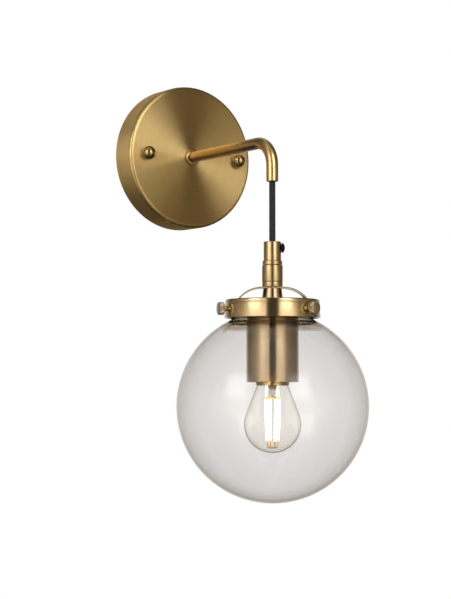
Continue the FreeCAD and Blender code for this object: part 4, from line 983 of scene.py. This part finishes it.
# %% Thumb screws
FLUTES, FLUTE_DEPTH, FLUTE_REACH, HEAD, HEAD_IN, HEAD_OUT = 22, 0.45, 0.9, 5.0, 40.05, 44.55
CREST, ROOT, SCREW_PITCH, TIP, THREAD_START, THREAD_END = 2.0, 1.72, 0.55, 31.5, 32.7, 38.45


def knurl(r, h, angle):
    share = max(0.0, (r - HEAD + FLUTE_REACH) / FLUTE_REACH) if HEAD_IN < h < HEAD_OUT else 0.0
    return r - FLUTE_DEPTH * min(share, 1.0) * (0.5 - 0.5 * cos(FLUTES * angle))


screw_outline = [(0, TIP), (1.0, TIP), (CREST, THREAD_START)]
for turn in range(1, 11):
    height = THREAD_START + turn * SCREW_PITCH
    screw_outline += [(ROOT, height - 0.28), (CREST, height)]
screw_outline += [(CREST, THREAD_END), (3.2, HEAD_IN, 0.2), (4.3, 40.06), (4.75, 40.2), (HEAD, 40.6),
                  (HEAD, 42.3), (HEAD, 44.0), (4.75, 44.4), (4.3, HEAD_OUT), (0, HEAD_OUT)]
for number, azimuth in enumerate((13.6, -106.4, 133.6), 1):
    node = "thumb_screw_%d" % number
    lathe("knurled_screw_%d" % number, screw_outline, pale_brass, node, node, "polished_brass",
          outwards(azimuth, -132.9), crease=40, closed=False, around=FLUTES * 8, carve=knurl)

# %% [markdown]
# ## Globe
# The globe is blown, 150 mm across and 2 mm thick, with a short neck and a flared lip that rests on the
# three screws. Ball and neck meet in a fillet, and one helper draws the outer and the inner line.

# %% Globe
GLOBE, GLASS, GLOBE_MIDDLE, NECK, LIP_TOP, NECK_FILLET = 75.0, 2.0, -208.82, 31.0, -128.3, 4.0


def ball_and_neck(ball, neck, fillet):
    """The outline from the ball's lowest point, round it and through a fillet, to the straight neck."""
    turn_r = neck + fillet
    turn_h = GLOBE_MIDDLE + sqrt((ball + fillet) ** 2 - turn_r ** 2)
    meet = degrees(atan2(turn_h - GLOBE_MIDDLE, turn_r))
    return arc((0, GLOBE_MIDDLE), ball, -90, meet, 90) + arc((turn_r, turn_h), fillet, meet + 180, 180, 10)


outside = ball_and_neck(GLOBE, NECK, NECK_FILLET)
inside = ball_and_neck(GLOBE - GLASS, NECK - GLASS, NECK_FILLET + GLASS)
lip = [(NECK, LIP_TOP - 3.0, 2.0), (NECK + 3.0, LIP_TOP - 1.4, 0.6), (NECK + 3.2, LIP_TOP - 0.7, 0.5),
       (NECK + 3.0, LIP_TOP, 0.6), (NECK + 0.2, LIP_TOP, 0.5), (NECK - GLASS, LIP_TOP - 3.0, 2.0)]
globe_outline = outside + lip + list(reversed(inside))
lathe("blown_globe", globe_outline, globe_glass, "shade", "globe", "clear_glass", crease=60, closed=False,
      around=256)

# %% [markdown]
# ## Lampholder cup
# The cup hides the lampholder. It was spun in one piece: a flared neck that clamps under the bridge, a
# round shoulder, a straight skirt and a rolled rim. Its satin finish blurs the soft boxes to two broad
# stripes.

# %% Cup
CUP, CUP_WALL, CUP_TOP, CUP_FOOT, CUP_NECK, SHOULDER = 20.5, 1.0, -116.7, -190.2, 8.3, 12.0
neck_foot, rim = CUP_TOP - 7.6, CUP_FOOT + 0.8
inset = CUP - CUP_NECK
bow = (inset ** 2 + SHOULDER ** 2) / (2 * inset)
bow_centre = (CUP - bow, neck_foot - SHOULDER)
top_angle = degrees(asin(SHOULDER / bow))
inner_angle = degrees(acos((CUP_NECK - CUP_WALL - bow_centre[0]) / (bow - CUP_WALL)))
cup_outline = [(NIPPLE, CUP_TOP), (7.2, CUP_TOP, 0.2), (CUP_NECK, neck_foot, 0.6)]
cup_outline += arc(bow_centre, bow, top_angle - 2, 0, 20) + [(CUP, rim)]
cup_outline += arc((CUP - CUP_WALL / 2, rim), CUP_WALL / 2, 0, -180, 8)[1:]
cup_outline += arc(bow_centre, bow - CUP_WALL, 0, inner_angle, 16)
cup_outline += [(6.2, CUP_TOP - CUP_WALL), (NIPPLE, CUP_TOP - CUP_WALL)]
lathe("spun_cup", cup_outline, satin_brass, "shade", "lampholder_cup", "satin_brass", around=192)

# %% [markdown]
# ## Bulb cap
# The bulb has an E27 screw cap, rolled from thin brass sheet, with a round thread of 3.62 mm pitch. The
# carve function moves each point by a wave that climbs one pitch per turn and fades out at both ends.

# %% Bulb cap
SCREW, PITCH, THREAD, CAP_LOW, CAP_HIGH, LEVEL_STEP = 13.1, 3.62, 0.95, -192.4, -167.0, 0.3


def thread(r, h, angle):
    fade = min(1.0, max(0.0, (h - CAP_LOW - 3.4) / 2.0)) * min(1.0, max(0.0, (CAP_HIGH - 2.6 - h) / 2.0))
    return r - fade * THREAD * (0.5 - 0.5 * cos(2 * pi * h / PITCH - angle))


sheet_brass = brass("rolled brass sheet", "#DDBE7C", "#C9A25E", 0.26, 0.05, 1.0, 0.2)
level_count = int((CAP_HIGH - 2.2 - CAP_LOW - 0.4) / LEVEL_STEP)
levels = [CAP_LOW + 0.4 + LEVEL_STEP * i for i in range(level_count)]
cap_outline = [(SCREW - 0.6, CAP_LOW), (SCREW - 0.15, CAP_LOW)] + [(SCREW, h) for h in levels]
cap_outline += [(SCREW - 0.4, CAP_HIGH - 1.5), (SCREW - 2, CAP_HIGH), (SCREW - 2.6, CAP_HIGH)]
cap_outline += [(SCREW - 1.1, CAP_HIGH - 2.0)] + [(SCREW - 0.6, h) for h in reversed(levels[::2])]
lathe("threaded_bulb_cap", cap_outline, sheet_brass, "bulb", "bulb_cap", "contact_brass", crease=60,
      around=96, carve=thread)

# %% [markdown]
# ## Bulb
# The golf-ball bulb is a thin clear ball of 45 mm that tapers straight into its cap. Inside, a glass stem
# carries four straight filaments on thin wires.

# %% Bulb glass and stem
BULB, BULB_MIDDLE, THIN, BULB_NECK, STEM, STEM_END = 22.5, -222.6, 0.9, 12.0, 2.5, -200.6


def tapered_ball(ball, neck):
    """The outline from the ball's lowest point to where a straight taper leaves it, then up the neck."""
    rise = CAP_LOW + 0.8 - BULB_MIDDLE
    slant = atan2(rise, neck) - acos(ball / hypot(neck, rise))
    return arc((0, BULB_MIDDLE), ball, -90, degrees(slant), 48) + [(neck, CAP_LOW + 0.8), (neck, CAP_LOW + 6)]


flare = BULB_NECK - THIN
bulb_outline = tapered_ball(BULB, BULB_NECK) + list(reversed(tapered_ball(BULB - THIN, flare)))
lathe("bulb_ball", bulb_outline, lamp_glass, "bulb", "bulb_glass", "bulb_glass", crease=60, closed=False)
stem_outline = [(0, STEM_END), (STEM, STEM_END, 0.8), (STEM, CAP_LOW - 3.0, 6.0), (4.7, CAP_LOW + 1.8, 4.0),
                (flare, CAP_LOW + 4.0), (flare, CAP_LOW + 5.0), (0, CAP_LOW + 5.0)]
lathe("glass_stem", stem_outline, stem_glass, "bulb", "bulb_stem", "bulb_glass", crease=60, closed=False,
      around=64)

# %% [markdown]
# ## Filaments
# Each filament is a thin rod with a row of tiny light-emitting chips under a yellow silicone coating.
# Lit, its middle is a white glare and its ends show the coating, so the glow falls off towards the ends
# and towards the sides.

# %% Filament material
MIDDLE_GLOW, END_GLOW = 14.0, 0.9
filament_coat, tree = material("glowing silicone coating", "#FFE9A8")
spot = add(tree, "TexCoord").outputs["Object"]
facing = add(tree, "LayerWeight", {"Blend": 0.5}).outputs["Facing"]
along = add(tree, "SeparateXYZ", {0: spot}).outputs[2]
from_middle = add(tree, "Math", {0: along}, operation="ABSOLUTE")
end_fall = add(tree, "MapRange", {0: from_middle, 1: 0.0135, 2: 0.0168, 3: MIDDLE_GLOW, 4: END_GLOW})
side_fall = add(tree, "MapRange", {0: facing, 1: 0.3, 2: 0.9, 3: 1.0, 4: 0.05})
power = add(tree, "Math", {0: end_fall, 1: side_fall}, operation="MULTIPLY")
near_end = add(tree, "MapRange", {0: from_middle, 1: 0.0125, 2: 0.0165})
warmth = add(tree, "Math", {0: near_end, 1: facing}, operation="MAXIMUM")
glow = add(tree, "Mix", {0: warmth, 6: "#FFF3CC", 7: "#E9B24A"}, data_type="RGBA").outputs[2]
grain = add(tree, "TexNoise", {"Vector": spot, "Scale": per(1.0), "Detail": 1.0})
haze = add(tree, "MapRange", {0: grain, 3: 0.4, 4: 0.6})
coat = add(tree, "BsdfPrincipled", {"Base Color": "#E8C56A", "Roughness": haze, "Emission Strength": power,
                                    "Emission Color": glow})
add(tree, "OutputMaterial", {"Surface": coat})
print("filaments glow", MIDDLE_GLOW, "in the middle and", END_GLOW, "at the ends")


# %% Rods between two points
def between(start, end):
    """A matrix at the middle of two points in millimetres, with its Z axis along them."""
    along = (end - start).to_track_quat("Z", "Y").to_matrix().to_4x4()
    return Matrix.Translation((PENDANT + (start + end) / 2) / 1000) @ along


def joined(name, meshes):
    """One mesh from several (mesh, matrix) pairs."""
    whole = bmesh.new()
    for mesh, matrix in meshes:
        copy = mesh.copy()
        copy.transform(matrix)
        whole.from_mesh(copy)
        bpy.data.meshes.remove(copy)
    new = bpy.data.meshes.new(name)
    whole.to_mesh(new)
    whole.free()
    return new


# %% Filaments
FILAMENT, FIRST_AZIMUTH, UPPER_END, LOWER_END = 0.85, -12.0, (6.0, -202.5), (4.8, -236.0)
ends = []
for index in range(4):
    angle = radians(FIRST_AZIMUTH + 90 * index)
    out = Vector((sin(angle), -cos(angle), 0))
    ends.append((out, *[out * away + Vector((0, 0, level)) for away, level in (UPPER_END, LOWER_END)]))
half = (ends[0][1] - ends[0][2]).length / 2
rod_outline = [(0, -half), (FILAMENT, -half, 0.3), (FILAMENT, half, 0.3), (0, half)]
for index, (out, top, bottom) in enumerate(ends, 1):
    lathe("filament_%d" % index, rod_outline, filament_coat, "bulb", "bulb_filaments", "filament",
          between(bottom, top), closed=False, around=20)

# %% [markdown]
# ## Filament wires
# Thin nickel wires hold the filaments: a spider under the stem and a small ring at the lower ends. Nickel
# is a pale grey metal. Here it takes the yellow of the light beside it, which a golden base and a weak
# glow stand for.

# %% Nickel
nickel = small_metal("drawn nickel wire", "#D2B684", "#E6C78C", "#CDA866", 1.5, 2.0, 0.6, 0.22, 0.38,
                     **{"Emission Color": "#C9A050", "Emission Strength": 0.25})
print("nickel wire with a golden cast")

# %% Filament wires
WIRE, RING, RING_HEIGHT, HUB, HUB_HEIGHT = 0.45, 3.6, -240.8, 2, 1.2
hub_foot = STEM_END - HUB_HEIGHT
hub_outline = [(0, hub_foot), (HUB, hub_foot, 0.2), (HUB, STEM_END, 0.2), (0, STEM_END)]
hub = turned("hub", hub_outline, closed=False, around=32)
ring = turned("ring", arc((RING, RING_HEIGHT), WIRE, 0, 330, 11), around=32)
parts = [(hub, HANGING), (ring, HANGING)]
hub_middle, ring_middle = (Vector((0, 0, level)) for level in (STEM_END - HUB_HEIGHT / 2, RING_HEIGHT))
for out, top, bottom in ends:
    for a, b in ((hub_middle, top), (out * RING + ring_middle, bottom)):
        reach = (b - a).length / 2
        rod = turned("rod", [(0, -reach), (WIRE, -reach), (WIRE, reach), (0, reach)], closed=False, around=12)
        parts.append((rod, between(a, b)))
piece(joined("nickel_wires", parts), nickel, "bulb", ["filament_wires"], "filament_wire", Matrix())

# %% [markdown]
# ## What is behind and inside
# The bracket, the terminal block and the lampholder's parts show from behind or from below. Their solids
# already have the right shape, so they only get a finish: zinc-plated steel, moulded insulators, plain
# contact brass and a tinned contact.

# %% Recipe for plated metal
def plated(name, base, shade, rough, grain):
    """Metal with a thin plated or tinned skin. grain is the size of its crystals in millimetres."""
    new, tree = material(name, base)
    spot = add(tree, "TexCoord").outputs["Object"]
    crystals = add(tree, "TexVoronoi", {"Vector": spot, "Scale": per(grain)}).outputs["Distance"]
    cloud = add(tree, "TexNoise", {"Vector": spot, "Scale": per(grain * 3), "Detail": 3.0})
    hue = add(tree, "Mix", {0: cloud, 6: base, 7: shade}, data_type="RGBA").outputs[2]
    haze = add(tree, "MapRange", {0: crystals, 3: rough - 0.06, 4: rough + 0.1})
    relief = add(tree, "Bump", {"Height": crystals, "Strength": 0.1, "Distance": 0.0001})
    skin = add(tree, "BsdfPrincipled", {"Base Color": hue, "Metallic": 1.0, "Roughness": haze,
                                        "Normal": relief})
    add(tree, "OutputMaterial", {"Surface": skin})
    return new


# %% Hidden finishes
finishes = {"zinc_steel": plated("zinc plated steel", "#C4C6C8", "#A3A7AC", 0.34, 2.0),
            "solder": plated("tinned solder", "#C8C8C4", "#ABABA8", 0.3, 1.0),
            "black_bakelite": moulded("black moulded bakelite", "#1B1816", 0.32, 0.25, ior=1.6),
            "white_plastic": moulded("white moulded nylon", "#E4E2DA", 0.42, 0.3),
            "lead_insulation": moulded("brown core insulation", "#6B3F22", 0.5, 0.4),
            "black_plastic": black_nylon, "contact_brass": sheet_brass, "polished_brass": polished_brass,
            "spun_brass": spun_brass, "satin_brass": satin_brass}
slots = {part["node"]: part["material_slot"] for part in frame["record"]["subparts"]}
for name, node in frame["nodes"].items():
    if not node.hide_render:
        for holder in node.material_slots:
            holder.material = finishes[slots[name]]
        print(name, "gets", finishes[slots[name]].name)
